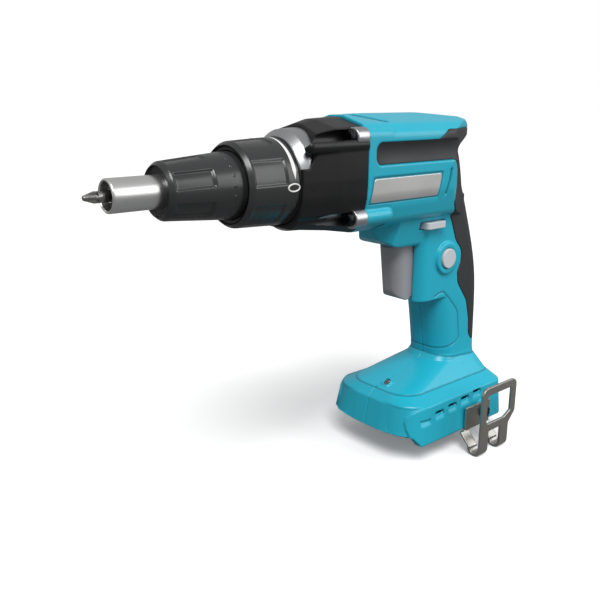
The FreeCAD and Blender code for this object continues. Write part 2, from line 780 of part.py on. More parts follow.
def roof_wires(inset):
    """Level sections up the roof of the base, from its shoulder to just under the handle."""
    crease = drawn_in(CREASE_SIZES, inset)
    foot = handle_sizes(HANDLE_STATION_SHARES[0], inset)
    way_in, way_up = ROOF_BLEND_SHARES
    blend_z = CREASE_Z + way_up * (HANDLE_FOOT_Z - CREASE_Z)
    blend = between(crease, foot, way_in)
    shoulder = base_wire(SHOULDER_Z - inset, inset)
    return [shoulder, footprint(crease, CREASE_Z - inset), footprint(blend, blend_z - inset)]


def housing_form(inset, floor_z, front_x):
    """Outer form of both housing halves, or the same form drawn in by an even inset."""
    stations = [handle_wire(station, inset) for station in HANDLE_STATION_SHARES]
    handle = Part.makeLoft(stations, True, False)
    roof = Part.makeLoft([base_wire(floor_z, inset)] + roof_wires(inset) + stations[:1], True, True)
    return joined([barrel_form(inset, front_x), chin_form(inset), handle, case_form(inset), roof])


def lamp_rod(radius, low, high):
    """Rod along the lamp's tilted axis, measured from the sloping roof of the base."""
    way_in, way_up = ROOF_BLEND_SHARES
    handle_front = handle_sizes(HANDLE_STATION_SHARES[0], 0)[1]
    slope = way_up * (HANDLE_FOOT_Z - CREASE_Z) / (way_in * (CREASE_FRONT_X - handle_front))
    seat = at(LAMP_X, LAMP_Y, CREASE_Z + slope * (CREASE_FRONT_X - LAMP_X))
    rod = Part.makeCylinder(radius, high - low, seat + at(0, 0, low), UPWARD)
    rod.rotate(seat, SIDEWAYS, LAMP_TILT)
    return rod


def both_sides(shape):
    return [shape, mirrored(shape)]


def rest_slab(grow, inner):
    outline = rectangle(
        REST_REAR_X - grow, REST_FRONT_X + grow, REST_LOW_Z - grow, REST_HIGH_Z + grow, REST_CORNER + grow
    )
    return side_prism(outline, inner, BODY_HALF_WIDTH + OVERRUN)


def rest_floor():
    return BODY_HALF_WIDTH - REST_DEPTH


def name_plate():
    outline = [
        (PLATE_REAR_X + PLATE_LEAN, PLATE_LOW_Z, PLATE_CORNER), (PLATE_FRONT_X, PLATE_LOW_Z, PLATE_CORNER),
        (PLATE_FRONT_X - PLATE_LEAN, PLATE_HIGH_Z, PLATE_CORNER), (PLATE_REAR_X, PLATE_HIGH_Z, PLATE_CORNER),
    ]
    skin = barrel_form(0, BODY_FRONT_X).cut(barrel_form(PLATE_THICKNESS, BODY_FRONT_X + OVERRUN))
    return skin.common(side_prism(outline, 0, BODY_HALF_WIDTH + OVERRUN))


def grip_region():
    corners = []
    for length_share, height_share, corner_share in GRIP_EDGE_SHARES:
        x = BODY_TAIL_X + length_share * GRIP_EDGE_LENGTH
        corners.append((x, height_share * GRIP_EDGE_HEIGHT, corner_share * GRIP_EDGE_HEIGHT))
    return side_prism(corners, 0, BODY_HALF_WIDTH + OVERRUN)


def soft_grip(outer):
    """Left half of the over-moulded grip, with the pad that lines the finger rest."""
    core = housing_form(GRIP_SKIN, 0, BODY_FRONT_X + OVERRUN)
    skin = outer.common(grip_region()).cut([core, rest_slab(0, rest_floor())])
    pad = rest_slab(0, rest_floor() - REST_PAD).cut(rest_slab(OVERRUN, rest_floor()))
    return joined([skin, pad.common(outer)])


def half_space(side):
    far = BODY_FRONT_X + SPINDLE_Z
    low_y = 0 if side > 0 else -far
    return block(-far, far, low_y, low_y + far, -far, far + SPINDLE_Z)


def base_cutters():
    bay = block(BAY_REAR_X, BASE_LIP_BACK_X, -BAY_HALF_WIDTH, BAY_HALF_WIDTH, -OVERRUN, BAY_HEIGHT)
    nose = [
        (BASE_SKIRT_FRONT_X, -OVERRUN, 0), (BASE_SKIRT_FRONT_X, 0, 0), (BASE_LIP_BACK_X, BASE_LIP_Z, 0),
        (BASE_FOOT_FRONT_X + OVERRUN, BASE_LIP_Z, 0), (BASE_FOOT_FRONT_X + OVERRUN, -OVERRUN, 0),
    ]
    wide = BASE_FOOT_HALF_WIDTH + OVERRUN
    cutters = [bay, side_prism(nose, -wide, wide)]
    for index in range(VENT_COUNT):
        front = VENT_FIRST_X - index * VENT_PITCH
        low = VENT_Z + index * VENT_CLIMB
        outline = rectangle(front - VENT_LENGTH, front, low, low + VENT_HEIGHT, VENT_HEIGHT / 2)
        slot = side_prism(outline, SHOULDER_HALF_WIDTH - 2 * HOUSING_WALL, wide)
        cutters += both_sides(slot)
    return cutters


def base_rail():
    inner = BAY_HALF_WIDTH - RAIL_REACH
    outer = BAY_HALF_WIDTH + HOUSING_WALL / 2
    return block(BAY_REAR_X, RAIL_FRONT_X, inner, outer, RAIL_LOW_Z, RAIL_LOW_Z + RAIL_HEIGHT)


def inner_ribs():
    """Saddles for the motor and its rear bearing, and the shelf that carries the switch."""
    wide = BODY_HALF_WIDTH
    high = SPINDLE_Z + BODY_RISE
    ribs = []
    for x in (STATOR_REAR_X + BARREL_RIB, STATOR_REAR_X + STATOR_LENGTH - 2 * BARREL_RIB):
        rib = block(x, x + BARREL_RIB, -wide, wide, BODY_LOW_Z, high)
        ribs.append(rib.cut(rod_x(x - OVERRUN, x + OVERRUN, STATOR_RADIUS + PRESS_GAP)))
    seat_front = REAR_BEARING_X + BEARING_WIDTH
    seat = block(REAR_BEARING_X, seat_front, -wide, wide, BODY_LOW_Z + CHIN_DEPTH, high)
    ribs.append(seat.cut(rod_x(REAR_BEARING_X - OVERRUN, seat_front + OVERRUN, BEARING_RADIUS + PRESS_GAP)))
    ribs.append(block(SWITCH_REAR_X, SWITCH_FRONT_X, -wide, wide, SWITCH_LOW_Z - SWITCH_SHELF, SWITCH_LOW_Z))
    return ribs


def screw_bosses():
    wide = BASE_FOOT_HALF_WIDTH
    bosses = [rod_y(-wide, wide, HOUSING_BOSS_RADIUS, x, z) for x, z, _ in HOUSING_SCREWS]
    rear = BODY_FRONT_X - COVER_SCREW_LENGTH
    bosses += [rod_x(rear, BODY_FRONT_X + OVERRUN, SCREW_BOSS_RADIUS, y, z) for y, z in EAR_CENTRES]
    return bosses


def front_screw_ribs():
    """Round-ended ribs on the outside of the barrel, over the screws of the cover."""
    rear = BODY_FRONT_X - RIB_LENGTH
    ribs = []
    for y, z in EAR_CENTRES:
        ribs.append(rod_x(rear, BODY_FRONT_X, SCREW_BOSS_RADIUS, y, z))
        ribs.append(Part.makeSphere(SCREW_BOSS_RADIUS, at(rear, y, z)))
    return ribs


def screw_holes():
    wide = BASE_FOOT_HALF_WIDTH + OVERRUN
    holes = []
    for x, z, seat in HOUSING_SCREWS:
        holes.append(rod_y(-seat, seat * HOUSING_SCREW_GRIP_SHARE, SCREW_RADIUS + RUNNING_CLEARANCE, x, z))
        holes.append(rod_y(-wide, -seat, SCREW_HEAD_RADIUS + FIT_GAP, x, z))
    tip = BODY_FRONT_X + EAR_LENGTH - COVER_SCREW_LENGTH
    holes += [rod_x(tip, BODY_FRONT_X, SCREW_RADIUS + RUNNING_CLEARANCE, y, z) for y, z in EAR_CENTRES]
    return holes


def hook_pads():
    pad = rod_y(BAY_HALF_WIDTH, HOOK_SEAT_Y, HOOK_PAD_RADIUS, HOOK_SCREW_X, HOOK_SCREW_Z)
    return both_sides(pad)


def insert_rods(radius):
    rod = rod_y(HOOK_SEAT_Y - INSERT_LENGTH, HOOK_SEAT_Y, radius, HOOK_SCREW_X, HOOK_SCREW_Z)
    return both_sides(rod)


def control_openings():
    wide = BODY_HALF_WIDTH + OVERRUN
    side = TRIGGER_HALF_WIDTH + SLIDING_CLEARANCE
    mouth = block(
        TRIGGER_REAR_X - TRIGGER_TRAVEL, TRIGGER_FRONT_X + OVERRUN, -side, side,
        TRIGGER_HEEL_Z - SLIDING_CLEARANCE, TRIGGER_TOP_Z + SLIDING_CLEARANCE,
    )
    sill = block(TRIGGER_REAR_X, CASE_FRONT_X + OVERRUN, -side, side, CASE_FLOOR_Z - OVERRUN, TRIGGER_TOP_Z)
    swing = math.radians(LEVER_SWING) * LEVER_HALF_SPAN
    half = LEVER_LENGTH / 2 + swing + SLIDING_CLEARANCE
    tall = LEVER_HEIGHT / 2 + SLIDING_CLEARANCE
    slot = block(LEVER_X - half, LEVER_X + half, -wide, wide, LEVER_Z - tall, LEVER_Z + tall)
    lock = rod_y(0, wide, LOCK_RADIUS + SLIDING_CLEARANCE, LOCK_X, LOCK_Z)
    return [mouth, sill, slot, lock]


def housing_pieces():
    """Both housing halves, both grips and both name plates."""
    outer = housing_form(0, 0, BODY_FRONT_X)
    left_grip = soft_grip(outer)
    left_plate = name_plate()
    grips = both_sides(left_grip)
    plates = both_sides(left_plate)
    holes = screw_holes()
    collar_y = CASE_HALF_WIDTH + LOCK_COLLAR
    collar = rod_y(CASE_HALF_WIDTH - HOUSING_WALL, collar_y, LOCK_COLLAR_RADIUS, LOCK_X, LOCK_Z)
    hood = lamp_rod(LAMP_HOOD_RADIUS, -HOUSING_WALL, LAMP_HOOD_RISE)
    backing = rest_slab(REST_BACKING, rest_floor() - REST_PAD - REST_BACKING)
    cavity = housing_form(HOUSING_WALL, BAY_TOP_Z, BODY_FRONT_X + OVERRUN)
    cavity = cavity.cut(inner_ribs() + screw_bosses() + both_sides(backing))
    cutters = [cavity] + base_cutters() + control_openings() + holes + insert_rods(INSERT_RADIUS)
    cutters += grips + plates + both_sides(rest_slab(0, rest_floor() - REST_PAD))
    cutters.append(lamp_rod(LAMP_RADIUS + FIT_GAP, -LAMP_LENGTH, LAMP_LENGTH))
    shell = joined([outer, collar, hood] + hook_pads() + front_screw_ribs()).cut(cutters)
    shell = shell.fuse(both_sides(base_rail()))
    pieces = {}
    for name, side in (("left", 1), ("right", -1)):
        space = half_space(side)
        pieces["housing_" + name] = shell.common(space)
        pieces["grip_" + name] = grips[0 if side > 0 else 1].cut(holes)
        pieces["name_plate_" + name] = plates[0 if side > 0 else 1]
    return pieces


def cross_recess(shape, x, y, z):
    """Screw with a cross recess in a head that faces forward at x."""
    long, slim = SCREW_CROSS_LENGTH / 2, SCREW_CROSS_WIDTH / 2
    rear = x - SCREW_CROSS_DEPTH
    first = block(rear, x + OVERRUN, y - long, y + long, z - slim, z + slim)
    second = block(rear, x + OVERRUN, y - slim, y + slim, z - long, z + long)
    return shape.cut([first, second])


def cover_screws():
    screws = []
    seat = BODY_FRONT_X + EAR_LENGTH
    for y, z in EAR_CENTRES:
        shank = rod_x(seat - COVER_SCREW_LENGTH, seat, SCREW_RADIUS, y, z)
        head = rod_x(seat, seat + SCREW_HEAD_HEIGHT, SCREW_HEAD_RADIUS, y, z)
        screws.append(cross_recess(shank.fuse(head), seat + SCREW_HEAD_HEIGHT, y, z))
    return Part.makeCompound(screws)


def housing_screws():
    screws = []
    for x, z, seat in HOUSING_SCREWS:
        shank = rod_y(-seat, seat * HOUSING_SCREW_GRIP_SHARE, SCREW_RADIUS, x, z)
        head = rod_y(-seat - SCREW_HEAD_HEIGHT, -seat, SCREW_HEAD_RADIUS, x, z)
        long, slim = SCREW_CROSS_LENGTH / 2, SCREW_CROSS_WIDTH / 2
        top = -seat - SCREW_HEAD_HEIGHT + SCREW_CROSS_DEPTH
        first = block(x - long, x + long, top - OVERRUN, top, z - slim, z + slim)
        second = block(x - slim, x + slim, top - OVERRUN, top, z - long, z + long)
        screws.append(shank.fuse(head).cut([first, second]))
    return Part.makeCompound(screws)


# Gear housing and cover


def casting_form(grow):
    stations = (
        (BODY_FRONT_X, CASTING_HALF_WIDTH, CASTING_HALF_HEIGHT),
        (CASTING_SHOULDER_X, CASTING_HALF_WIDTH, CASTING_SHOULDER_HALF_HEIGHT),
        (CASTING_FRONT_X, CASTING_FRONT_RADIUS, CASTING_FRONT_RADIUS),
    )
    wires = []
    for x, half_width, half_height in stations:
        wide, tall = half_width + grow, half_height + grow
        outline = rectangle(-wide, wide, SPINDLE_Z - tall, SPINDLE_Z + tall, wide)
        wires.append(front_wire(outline, x))
    shapes = [Part.makeLoft(wires, True, True)]
    front = BODY_FRONT_X + EAR_LENGTH + grow
    for y, z in EAR_CENTRES:
        shapes.append(rod_x(BODY_FRONT_X, front, EAR_RADIUS + grow, y, z))
        web_y = sorted((0, y))
        web_z = sorted((SPINDLE_Z, z))
        shapes.append(block(BODY_FRONT_X, front, web_y[0], web_y[1], web_z[0], web_z[1]))
    return joined(shapes)


def gear_housing():
    tube = rod_x(CASTING_SHOULDER_X, NOSE_TUBE_FRONT_X, NOSE_TUBE_RADIUS)
    bores = [
        rod_x(BODY_FRONT_X - OVERRUN, BODY_FRONT_X + CASTING_BORE_DEPTH, CASTING_BORE),
        rod_x(BODY_FRONT_X, CLUTCH_WALL_X, CLUTCH_BORE),
        rod_x(BODY_FRONT_X, BUSH_FRONT_X, BUSH_RADIUS),
        rod_x(BODY_FRONT_X, NOSE_TUBE_FRONT_X + OVERRUN, SPINDLE_RADIUS + SLIDING_CLEARANCE),
    ]
    for y, z in EAR_CENTRES:
        front = BODY_FRONT_X + EAR_LENGTH + OVERRUN
        bores.append(rod_x(BODY_FRONT_X - OVERRUN, front, SCREW_RADIUS + FIT_GAP, y, z))
    return joined([casting_form(0), tube]).cut(bores)


def gear_housing_cover():
    sections = (
        (BODY_FRONT_X + FIT_GAP, BODY_HALF_WIDTH, BODY_FRONT_RISE, BODY_DROP),
        (COVER_MID_X, COVER_MID_HALF_WIDTH, COVER_MID_RISE, COVER_MID_DROP),
        (COVER_FRONT_X, COVER_FRONT_HALF_WIDTH, COVER_FRONT_RISE, COVER_FRONT_DROP),
    )
    wires = [front_wire(body_section(wide, rise, drop), x) for x, wide, rise, drop in sections]
    form = Part.makeLoft(wires, True, True)
    length = COVER_FRONT_X - BODY_FRONT_X
    corners = []
    for along, up in COVER_WINDOW_SHARES:
        corners.append((BODY_FRONT_X + along * length, SPINDLE_Z + up * COVER_MID_RISE, 0))
    wide = BODY_HALF_WIDTH + OVERRUN
    shell = form.cut(side_prism(corners, -wide, wide))
    arm_z = SPINDLE_Z + ARM_RISE
    arm = rod_x(BODY_FRONT_X + FIT_GAP, ARM_TIP_X - ARM_RADIUS, ARM_RADIUS, ARM_HALF_SPAN, arm_z)
    arm = arm.fuse(Part.makeSphere(ARM_RADIUS, at(ARM_TIP_X - ARM_RADIUS, ARM_HALF_SPAN, arm_z)))
    shell = joined([shell] + both_sides(arm))
    pockets = []
    for y, z in EAR_CENTRES:
        seat = BODY_FRONT_X + EAR_LENGTH
        pockets.append(rod_x(seat, COVER_FRONT_X + OVERRUN, SCREW_HEAD_RADIUS + SLIDING_CLEARANCE, y, z))
    return shell.cut([casting_form(FIT_GAP)] + pockets)


# Depth adjusting nose


def ring_radius(x):
    share = (x - RING_REAR_X) / (RING_FRONT_X - RING_CHAMFER - RING_REAR_X)
    return RING_REAR_RADIUS + share * (RING_FRONT_RADIUS - RING_REAR_RADIUS)


def locator_radius(x):
    share = (x - LOCATOR_REAR_X) / (LOCATOR_FRONT_X - LOCATOR_CHAMFER - LOCATOR_REAR_X)
    return LOCATOR_REAR_RADIUS + share * (LOCATOR_NECK_RADIUS - LOCATOR_REAR_RADIUS)


def finger_panels(radius_at, x0, x1, depth, width, count, phase):
    """Shallow recesses spread evenly round a turned part."""
    r0, r1 = radius_at(x0), radius_at(x1)
    band = turned([(x0, r0 - depth), (x1, r1 - depth), (x1, r1 + OVERRUN), (x0, r0 + OVERRUN)])
    panel = block(x0, x1, -width / 2, width / 2, SPINDLE_Z, SPINDLE_Z + r0 + OVERRUN)
    recess = band.common(panel)
    return [about_axis(recess, phase + WHOLE_TURN * index / count) for index in range(count)]


def casing_radius():
    return NOSE_TUBE_RADIUS + FIT_GAP + CASING_WALL


def adjust_ring():
    body = turned([
        (RING_REAR_X, 0), (RING_REAR_X, RING_REAR_RADIUS), (RING_FRONT_X - RING_CHAMFER, RING_FRONT_RADIUS),
        (RING_FRONT_X, RING_FACE_RADIUS), (RING_FRONT_X, 0),
    ])
    step = CASING_FRONT_X + SLIDING_CLEARANCE
    bores = [
        rod_x(RING_REAR_X - OVERRUN, step, casing_radius() + RUNNING_CLEARANCE),
        rod_x(step, RING_FRONT_X + OVERRUN, LOCATOR_REAR_RADIUS + SLIDING_CLEARANCE),
    ]
    front = RING_FRONT_X - RING_CHAMFER - RING_PANEL_MARGIN / 2
    panels = finger_panels(
        ring_radius, RING_REAR_X + RING_PANEL_MARGIN, front, RING_PANEL_DEPTH,
        RING_PANEL_WIDTH, RING_PANEL_COUNT, RING_PANEL_PHASE,
    )
    return body.cut(bores + panels)


def snap_ring_form(wire):
    radius = NOSE_TUBE_RADIUS + FIT_GAP + SNAP_RING_WIRE / 2
    return Part.makeTorus(radius, wire / 2, at(SNAP_RING_X, 0, SPINDLE_Z), FORWARD)


def nose_casing():
    rear = RING_REAR_X + FIT_GAP
    tube = pipe_x(rear, CASING_FRONT_X, casing_radius(), NOSE_TUBE_RADIUS + FIT_GAP)
    return tube.cut(snap_ring_form(SNAP_RING_WIRE + 2 * PRESS_GAP))


def snap_ring():
    wedge = block(
        SNAP_RING_X - OVERRUN, SNAP_RING_X + OVERRUN, -NOSE_TUBE_RADIUS / 2, NOSE_TUBE_RADIUS / 2,
        SPINDLE_Z - 2 * NOSE_TUBE_RADIUS, SPINDLE_Z,
    )
    return snap_ring_form(SNAP_RING_WIRE).cut(wedge)


def locator():
    seat = LOCATOR_FRONT_X - LOCATOR_SEAT_LENGTH
    body = turned([
        (SKIRT_REAR_X, 0), (SKIRT_REAR_X, LOCATOR_REAR_RADIUS), (LOCATOR_REAR_X, LOCATOR_REAR_RADIUS),
        (LOCATOR_FRONT_X - LOCATOR_CHAMFER, LOCATOR_NECK_RADIUS), (LOCATOR_FRONT_X, LOCATOR_FACE_RADIUS),
        (LOCATOR_FRONT_X, 0),
    ])
    hollow = turned([
        (SKIRT_REAR_X - OVERRUN, 0), (SKIRT_REAR_X - OVERRUN, NOSE_TUBE_RADIUS + SLIDING_CLEARANCE),
        (seat - OVERRUN, NOSE_TUBE_RADIUS + SLIDING_CLEARANCE), (seat, SLEEVE_RADIUS + PRESS_GAP),
        (LOCATOR_FRONT_X + OVERRUN, SLEEVE_RADIUS + PRESS_GAP), (LOCATOR_FRONT_X + OVERRUN, 0),
    ])
    front = LOCATOR_FRONT_X - LOCATOR_CHAMFER - LOCATOR_PANEL_MARGIN / 2
    panels = finger_panels(
        locator_radius, LOCATOR_REAR_X + LOCATOR_PANEL_MARGIN, front, LOCATOR_PANEL_DEPTH,
        LOCATOR_PANEL_WIDTH, LOCATOR_PANEL_COUNT, LOCATOR_PANEL_PHASE,
    )
    return body.cut([hollow] + panels)


def nose_sleeve():
    rear = LOCATOR_FRONT_X - LOCATOR_SEAT_LENGTH
    inner = SLEEVE_RADIUS - SLEEVE_WALL
    return turned([
        (rear, inner), (rear, SLEEVE_RADIUS), (SLEEVE_FRONT_X - SLEEVE_CHAMFER, SLEEVE_RADIUS),
        (SLEEVE_FRONT_X, SLEEVE_RADIUS - SLEEVE_CHAMFER), (SLEEVE_FRONT_X, inner),
    ])


# Bit, spindle and clutch


def hex_bar(x0, x1, across):
    radius = across / math.sqrt(3)
    points = []
    for corner in range(6):
        angle = math.radians(WHOLE_TURN / 6 * corner)
        points.append(at(x0, radius * math.cos(angle), SPINDLE_Z + radius * math.sin(angle)))
    return Part.Face(Part.makePolygon(points + points[:1])).extrude(at(x1 - x0, 0, 0))


def driver_bit():
    point = SPINDLE_FRONT_X + BIT_REACH
    rear = point - BIT_LENGTH
    neck = point - BIT_NECK_LENGTH
    cone = point - BIT_CONE_LENGTH
    tip = turned([
        (neck, 0), (neck, BIT_NECK_RADIUS), (cone, BIT_NECK_RADIUS),
        (point, BIT_POINT_RADIUS), (point, 0),
    ])
    far = BIT_NECK_RADIUS + OVERRUN
    flute = block(cone - BIT_FLUTE_WIDTH, point + OVERRUN, BIT_FLUTE_INNER, far, 0, far)
    flute.translate(at(0, 0, SPINDLE_Z + BIT_FLUTE_INNER))
    flutes = [about_axis(flute, WHOLE_TURN / 4 * index) for index in range(4)]
    return hex_bar(rear, neck, BIT_HEX).fuse(tip.cut(flutes))


def dogs(x0, x1, phase):
    sectors = []
    for index in range(DOG_COUNT):
        inner = Part.makeCylinder(DOG_INNER, x1 - x0, at(x0, 0, SPINDLE_Z), FORWARD, DOG_ANGLE)
        outer = Part.makeCylinder(DOG_OUTER, x1 - x0, at(x0, 0, SPINDLE_Z), FORWARD, DOG_ANGLE)
        sectors.append(about_axis(outer.cut(inner), phase + WHOLE_TURN * index / DOG_COUNT))
    return sectors


def spindle():
    rear = CARRIER_REAR_X + PUSH_TRAVEL + 2 * GEAR_SIDE_GAP
    socket_rear = SPINDLE_FRONT_X - SOCKET_DEPTH
    shaft = rod_x(CAM_REAR_X, SPINDLE_FRONT_X, SPINDLE_RADIUS)
    stub = rod_x(rear, CAM_REAR_X, SPINDLE_STUB_RADIUS)
    socket = hex_bar(socket_rear, SPINDLE_FRONT_X + OVERRUN, BIT_HEX + 2 * FIT_GAP)
    pocket = rod_x(socket_rear - MAGNET_LENGTH, socket_rear, MAGNET_RADIUS + PRESS_GAP)
    return shaft.fuse(stub).cut([socket, pocket])


def bit_magnet():
    front = SPINDLE_FRONT_X - SOCKET_DEPTH
    return rod_x(front - MAGNET_LENGTH, front, MAGNET_RADIUS)


def clutch_cam():
    disc = pipe_x(CAM_REAR_X, CAM_FRONT_X, CAM_RADIUS, SPINDLE_RADIUS + PRESS_GAP)
    return joined([disc] + dogs(CAM_REAR_X - DOG_HEIGHT, CAM_REAR_X, WHOLE_TURN / DOG_COUNT / 2))


def thrust_washer():
    rear = CAM_FRONT_X + FIT_GAP
    return pipe_x(rear, rear + WASHER_LENGTH, WASHER_RADIUS, SPINDLE_RADIUS + RUNNING_CLEARANCE)


def spindle_bush():
    return pipe_x(CLUTCH_WALL_X, BUSH_FRONT_X, BUSH_RADIUS - PRESS_GAP, SPINDLE_RADIUS + RUNNING_CLEARANCE)


def clutch_spring():
    start = at(CARRIER_FRONT_X + SPRING_WIRE, 0, SPINDLE_Z)
    length = CAM_REAR_X - CARRIER_FRONT_X - 2 * SPRING_WIRE
    return spring_wire(start, FORWARD, SIDEWAYS, SPRING_RADIUS, SPRING_WIRE, SPRING_TURNS, length)


# Planetary reduction


def toothed(teeth, addendum, phase, x0, x1, centre_y=0, centre_z=SPINDLE_Z):
    radius = GEAR_MODULE * teeth / 2
    tip = radius + addendum * GEAR_MODULE
    root = radius - DEDENDUM_SHARE * GEAR_MODULE
    thickness = TOOTH_THICKNESS - GEAR_BACKLASH
    outline = gear_outline(teeth, tip, root, thickness, phase, centre_y, centre_z, x0)
    return Part.Face(outline).extrude(at(x1 - x0, 0, 0))


def sun_pinion():
    gear = toothed(
        SUN_TEETH, SUN_ADDENDUM_SHARE, PLANET_ANGLES[0], PLANET_REAR_X, PLANET_REAR_X + PLANET_WIDTH
    )
    return gear.cut(rod_x(PLANET_REAR_X - OVERRUN, CARRIER_FRONT_X, SHAFT_RADIUS + PRESS_GAP))


def planet_centre(angle):
    return PLANET_ORBIT * math.cos(angle), SPINDLE_Z + PLANET_ORBIT * math.sin(angle)


def planet_gear(angle):
    y, z = planet_centre(angle)
    front = PLANET_REAR_X + PLANET_WIDTH
    gear = toothed(PLANET_TEETH, PLANET_ADDENDUM_SHARE, angle, PLANET_REAR_X, front, y, z)
    return gear.cut(rod_x(PLANET_REAR_X - OVERRUN, front + OVERRUN, PIN_RADIUS + RUNNING_CLEARANCE, y, z))


def planet_pins():
    pins = []
    for angle in PLANET_ANGLES:
        y, z = planet_centre(angle)
        pins.append(rod_x(PLANET_REAR_X, CARRIER_FRONT_X - GEAR_SIDE_GAP, PIN_RADIUS, y, z))
    return Part.makeCompound(pins)


def carrier():
    disc = pipe_x(CARRIER_REAR_X, CARRIER_FRONT_X, CARRIER_RADIUS, SPINDLE_STUB_RADIUS + RUNNING_CLEARANCE)
    body = joined([disc] + dogs(CARRIER_FRONT_X, CARRIER_FRONT_X + DOG_HEIGHT, 0))
    holes = []
    for angle in PLANET_ANGLES:
        y, z = planet_centre(angle)
        front = CARRIER_FRONT_X - GEAR_SIDE_GAP
        holes.append(rod_x(CARRIER_REAR_X - OVERRUN, front, PIN_RADIUS + PRESS_GAP, y, z))
    return body.cut(holes)


def ring_gear():
    tip = RING_GEAR_RADIUS + DEDENDUM_SHARE * GEAR_MODULE
    root = RING_GEAR_RADIUS - RING_ADDENDUM_SHARE * GEAR_MODULE
    rear = BRACKET_FRONT_X
    front = CARRIER_REAR_X - GEAR_SIDE_GAP / 2
    gap = TOOTH_THICKNESS + GEAR_BACKLASH
    space = gear_outline(RING_TEETH, tip, root, gap, PLANET_ANGLES[0], x=rear - OVERRUN)
    hole = Part.Face(space).extrude(at(front - rear + 2 * OVERRUN, 0, 0))
    return rod_x(rear, front, CASTING_BORE - PRESS_GAP).cut(hole)


def bearing_bracket():
    disc = rod_x(BODY_FRONT_X, BRACKET_FRONT_X, CASTING_BORE - PRESS_GAP)
    seat = rod_x(BODY_FRONT_X - OVERRUN, BODY_FRONT_X + BEARING_WIDTH, BEARING_RADIUS + PRESS_GAP)
    passage = rod_x(BODY_FRONT_X, BRACKET_FRONT_X + OVERRUN, SUN_RADIUS + 2 * GEAR_MODULE)
    return disc.cut([seat, passage])


# Motor


def bearing(x):
    return pipe_x(x, x + BEARING_WIDTH, BEARING_RADIUS, SHAFT_RADIUS + RUNNING_CLEARANCE)


def rotor_shaft():
    return rod_x(SHAFT_REAR_X, PLANET_REAR_X + PLANET_WIDTH, SHAFT_RADIUS)


def rotor_core():
    front = STATOR_REAR_X + STATOR_LENGTH
    return pipe_x(STATOR_REAR_X, front, ROTOR_RADIUS - ROTOR_MAGNET, SHAFT_RADIUS + PRESS_GAP)


def rotor_magnet():
    front = STATOR_REAR_X + STATOR_LENGTH
    return pipe_x(STATOR_REAR_X, front, ROTOR_RADIUS, ROTOR_RADIUS - ROTOR_MAGNET + PRESS_GAP)


def stator_core():
    front = STATOR_REAR_X + STATOR_LENGTH
    shapes = [pipe_x(STATOR_REAR_X, front, STATOR_RADIUS, STATOR_RADIUS - STATOR_YOKE)]
    half = STATOR_TOOTH_WIDTH / 2
    top = SPINDLE_Z + STATOR_RADIUS - STATOR_YOKE / 2
    tooth = block(STATOR_REAR_X, front, -half, half, SPINDLE_Z, top)
    shapes += [about_axis(tooth, WHOLE_TURN * index / STATOR_TEETH) for index in range(STATOR_TEETH)]
    bore = rod_x(STATOR_REAR_X - OVERRUN, front + OVERRUN, ROTOR_RADIUS + AIR_GAP)
    return joined(shapes).cut(bore)


def stator_windings():
    front = STATOR_REAR_X + STATOR_LENGTH
    half = STATOR_TOOTH_WIDTH / 2
    wide = half + COIL_THICKNESS
    low = SPINDLE_Z + ROTOR_RADIUS + AIR_GAP + COIL_STANDOFF
    high = SPINDLE_Z + math.sqrt((STATOR_RADIUS - STATOR_YOKE) ** 2 - wide ** 2) - FIT_GAP
    coil = block(STATOR_REAR_X - COIL_OVERHANG, front + COIL_OVERHANG, -wide, wide, low, high)
    coil = coil.cut(block(STATOR_REAR_X, front, -half, half, SPINDLE_Z, high + OVERRUN))
    coils = [about_axis(coil, WHOLE_TURN * index / STATOR_TEETH) for index in range(STATOR_TEETH)]
    return Part.makeCompound(coils)


def sensor_board():
    front = STATOR_REAR_X - COIL_OVERHANG
    return pipe_x(front - SENSOR_BOARD, front, SENSOR_BOARD_RADIUS, BEARING_RADIUS)


def cooling_fan():
    plate = rod_x(FAN_REAR_X, FAN_REAR_X + FAN_PLATE, FAN_RADIUS)
    hub = rod_x(FAN_REAR_X, FAN_REAR_X + FAN_LENGTH, FAN_HUB_RADIUS)
    blade = block(
        FAN_REAR_X, FAN_REAR_X + FAN_LENGTH, -FAN_BLADE / 2, FAN_BLADE / 2,
        SPINDLE_Z + FAN_HUB_RADIUS - FAN_BLADE, SPINDLE_Z + FAN_RADIUS - FAN_BLADE,
    )
    blades = [about_axis(blade, WHOLE_TURN * index / FAN_BLADES) for index in range(FAN_BLADES)]
    fan = joined([plate, hub] + blades)
    return fan.cut(rod_x(FAN_REAR_X - OVERRUN, FAN_REAR_X + FAN_LENGTH + OVERRUN, SHAFT_RADIUS + PRESS_GAP))


# Switch, trigger and controls


def trigger():
    height = TRIGGER_TOP_Z - TRIGGER_LOW_Z
    reach = TRIGGER_FRONT_X - TRIGGER_TOE_X
    waist_x = TRIGGER_TOE_X + TRIGGER_WAIST_SHARE * reach
    waist_z = TRIGGER_TOP_Z - TRIGGER_WAIST_DROP_SHARE * height
    outline = [
        (TRIGGER_REAR_X, TRIGGER_TOP_Z, 0),
        (TRIGGER_FRONT_X, TRIGGER_TOP_Z, TRIGGER_CORNER / 3),
        (waist_x, waist_z, height),
        (TRIGGER_TOE_X, TRIGGER_LOW_Z + TRIGGER_TOE_SHARE * height, TRIGGER_CORNER),
        (TRIGGER_TOE_X - TRIGGER_CORNER, TRIGGER_LOW_Z, TRIGGER_CORNER / 2),
        (TRIGGER_HEEL_X, TRIGGER_HEEL_Z, 0),
        (TRIGGER_REAR_X, TRIGGER_HEEL_Z, 0),
    ]
    half = TRIGGER_HALF_WIDTH
    slab = side_prism(outline, -half, half)
    lean = at(reach, 0, height)
    low = floor_wire(rectangle(-TRIGGER_FRONT_X, TRIGGER_TOE_X, -half, half, TRIGGER_CORNER), TRIGGER_LOW_Z)
    return slab.common(Part.Face(low).extrude(lean))


